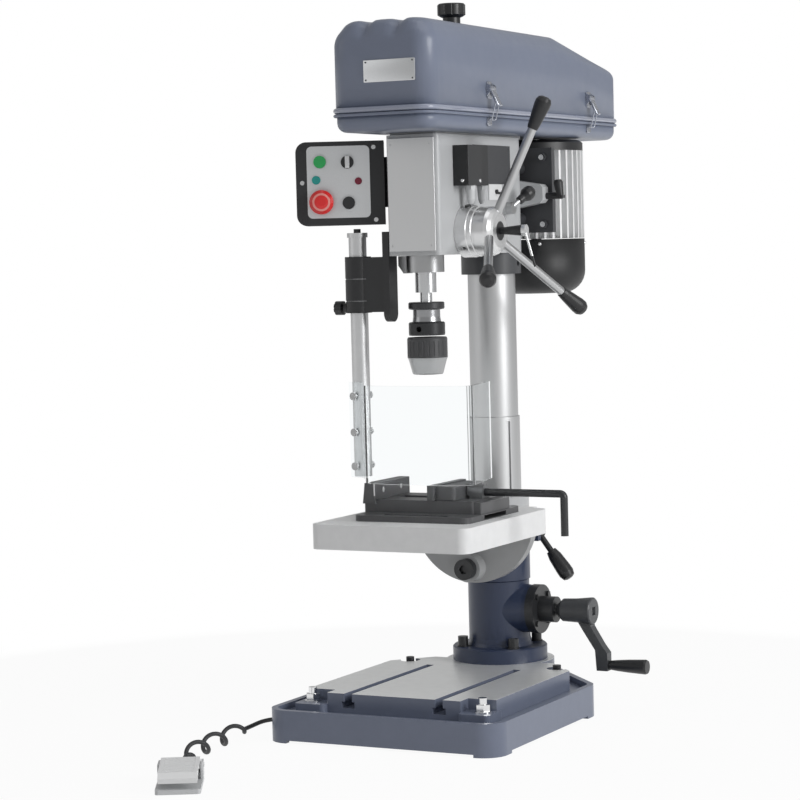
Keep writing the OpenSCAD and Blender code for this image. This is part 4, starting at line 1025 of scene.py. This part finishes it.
plate = rounded_block(PLATE_LOW, PLATE_HIGH, PLATE_CORNER, 1, 3, 0.0004)
piece("blank_plate", plate, FINISH["panel_silver"], "cover")
heads = [round_bar((x, -0.3420, z), (x, -0.3434, z), *PLATE_SCREW)
         for x in PLATE_SCREW_X for z in PLATE_SCREW_Z]
piece("plate_screws", joined(*heads), FINISH["dark_grey"], "cover")
print("plate with", len(heads), "screws")
heads = [round_bar((0.0556, -0.2030, SWITCH_Z), (0.0556, -0.2050, SWITCH_Z), *SWITCH_SCREW),
         round_bar((0.0645, -0.167, SWITCH_Z), (0.0665, -0.167, SWITCH_Z), *SWITCH_SCREW)]
piece("switch_screws", joined(*heads), FINISH["bright_steel"], "head")
print("switch box with", len(heads), "screws")

# %% [markdown]
# ## Fan cover
# The cup under the motor is pressed from sheet. A cylinder's lower rim is bevelled to a 34 mm
# round, its top is taken off, and a ring of radial slots is cut into the floor for the air.

# %% Fan cover
FAN_LOW, FAN_HIGH, FAN_R, FAN_ROUND, FAN_GAUGE = 0.6021, 0.6840, 0.0736, 0.034, 0.002
SLOT_LOW, SLOT_HIGH = (0.014, 0.1625, 0.595), (0.034, 0.1655, 0.612)
SLOT_STEP, SCREW_ANGLES = 15, (-62, 28, 118, 208)  # degrees
SCREW_Z, SCREW_IN, SCREW_OUT = 0.677, 0.0730, 0.0758
FAN_SCREW = (0.0033, 14, 0.0022, 0.0004)


def fan_cup():
    cup = round_bar((0, MOTOR_Y, FAN_LOW), (0, MOTOR_Y, FAN_HIGH), FAN_R, 64)
    bevel(cup, edges_of(f for f in cup.faces if len(f.verts) > 4 and f.normal.z < 0), FAN_ROUND, 8)
    lid = [f for f in cup.faces if len(f.verts) > 4 and f.normal.z > 0]
    bmesh.ops.delete(cup, geom=lid, context="FACES_ONLY")
    return cup


def fan_slot(angle):
    slit = block(SLOT_LOW, SLOT_HIGH)
    turn_about(slit, (0, MOTOR_Y, 0), angle, "Z")
    return slit


def fan_stud(angle):
    c, d = math.cos(math.radians(angle)), math.sin(math.radians(angle))
    ends = [(r * c, MOTOR_Y + r * d, SCREW_Z) for r in (SCREW_IN, SCREW_OUT)]
    return round_bar(*ends, *FAN_SCREW)


fan = piece("fan_shell", fan_cup(), FINISH["fan_black"], "head", 40)
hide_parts("fan_cover")
thicken(fan, FAN_GAUGE)
cut_away(fan, joined(*[fan_slot(a) for a in range(0, 360, SLOT_STEP)]))
studs = [fan_stud(a) for a in SCREW_ANGLES]
piece("fan_screws", joined(*studs), FINISH["bright_steel"], "head")
print("fan cover", len(fan.data.polygons), "faces,", len(studs), "screws")

# %% [markdown]
# ## Draw latches
# Two on the near side. Each is a bracket on the cover, a lever that hangs from it out over the
# rim, and a wire loop on the lever that draws on a hook on the pan. The lever and its loop ride
# on a body of their own, so that the latch can be thrown open.

# %% Draw latches
LATCH_X, LATCH_Z = 0.082, 0.896  # the pin that the lever turns on
LEVER_LOW, LEVER_LEAN, LEVER_TAPER = 0.8690, -24.0, 0.72  # height, degrees, share of the width
EAR_Y, EAR_THICK, EAR_TAPER = 0.0085, 0.0008, 0.35
WIRE_R, LIP_Z, CURL_Z = 0.0009, 0.8695, 0.8535
LOOP = [(0.0900, 0.0050, 0.8775), (0.0880, 0.0062, 0.868), (0.0842, 0.0062, 0.8535), (0.0834, 0.0050, 0.8520)]
LATCHES = (("front", -0.157), ("rear", 0.195))


def cross_bar(x, y, z, half, radius, sides, rim=0.0):
    """A bar along Y that reaches half to each side of y."""
    return round_bar((x, y - half, z), (x, y + half, z), radius, sides, rim=rim)


def latch_bracket(y):
    """Base plate on the cover, and two ears that taper up from it round the pin."""
    back = rounded_block((0.0768, y - EAR_Y, 0.882), (0.0785, y + EAR_Y, 0.906), 0.004, 0, 4, 0.0004)
    ears = []
    for side in (-1, 1):
        middle = y + side * EAR_Y
        ear = block((0.0775, middle - EAR_THICK, 0.884), (0.0845, middle + EAR_THICK, 0.904))
        for v in ear.verts:
            if v.co.x > 0.08:
                v.co.z = LATCH_Z + (v.co.z - 0.894) * EAR_TAPER
        ears.append(ear)
    return joined(back, *ears, cross_bar(LATCH_X, y, LATCH_Z, 0.0112, 0.0019, 16))


def latch_lever(y):
    """A tapered, rounded blade hung from the pin, which leans out over the rim."""
    lever = block((0.0806, y - 0.0078, LEVER_LOW), (0.0842, y + 0.0078, 0.8985))
    for v in lever.verts:
        if v.co.z < 0.88:
            v.co.y = y + (v.co.y - y) * LEVER_TAPER
    bevel(lever, [e for e in lever.edges if abs(e.verts[0].co.z - e.verts[1].co.z) > 0.02], 0.0015, 4)
    bevel(lever, edges_of(f for f in lever.faces if abs(f.normal.z) > 0.99), 0.0006, 2)
    eye = cross_bar(LATCH_X, y, LATCH_Z, 0.0080, 0.0036, 18, 0.0005)
    lip = cross_bar(0.0835, y, LIP_Z, 0.0042, 0.0022, 12, 0.0005)
    out = joined(lever, eye, lip)
    turn_about(out, (LATCH_X, y, LATCH_Z), LEVER_LEAN, "Y")
    return out


def latch_hook(y):
    """A small plate on the pan, and the curl that the wire lies in."""
    hook = rounded_block((0.0764, y - 0.0075, 0.8440), (0.0779, y + 0.0075, 0.8555), 0.003, 0, 3, 0.0003)
    return joined(hook, cross_bar(0.0797, y, CURL_Z, 0.0040, 0.0019, 14, 0.0004))


def wire(name, points, radius, material, body):
    """A bent wire: a curve with a round section, made into a mesh."""
    curve = bpy.data.curves.new(name, "CURVE")
    curve.dimensions, curve.use_fill_caps = "3D", True
    curve.bevel_depth, curve.bevel_resolution = radius, 3
    line = curve.splines.new("POLY")
    line.points.add(len(points) - 1)
    for q, co in zip(line.points, points):
        q.co = (*co, 1.0)
    shape = bpy.data.objects.new(name + "_curve", curve)
    bpy.context.scene.collection.objects.link(shape)
    data = mesh_of(shape)
    bpy.data.objects.remove(shape)
    for f in data.polygons:
        f.use_smooth = True
    data.materials.clear()
    data.materials.append(material)
    obj = bpy.data.objects.new(name, data)
    bpy.context.scene.collection.objects.link(obj)
    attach(obj, body)
    return obj


for where, y in LATCHES:
    piece(f"latch_bracket_{where}", latch_bracket(y), FINISH["latch_zinc"], "cover")
    lever = piece(f"latch_lever_{where}", latch_lever(y), FINISH["latch_zinc"], f"latch_{where}")
    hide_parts(f"latch_{where}")
    loop = [(x, y - d, z) for x, d, z in LOOP] + [(x, y + d, z) for x, d, z in reversed(LOOP)]
    wire(f"latch_wire_{where}", loop, WIRE_R, FINISH["latch_zinc"], f"latch_{where}")
    piece(f"latch_hook_{where}", latch_hook(y), FINISH["latch_zinc"], "head")
print("latches", len(LATCHES))
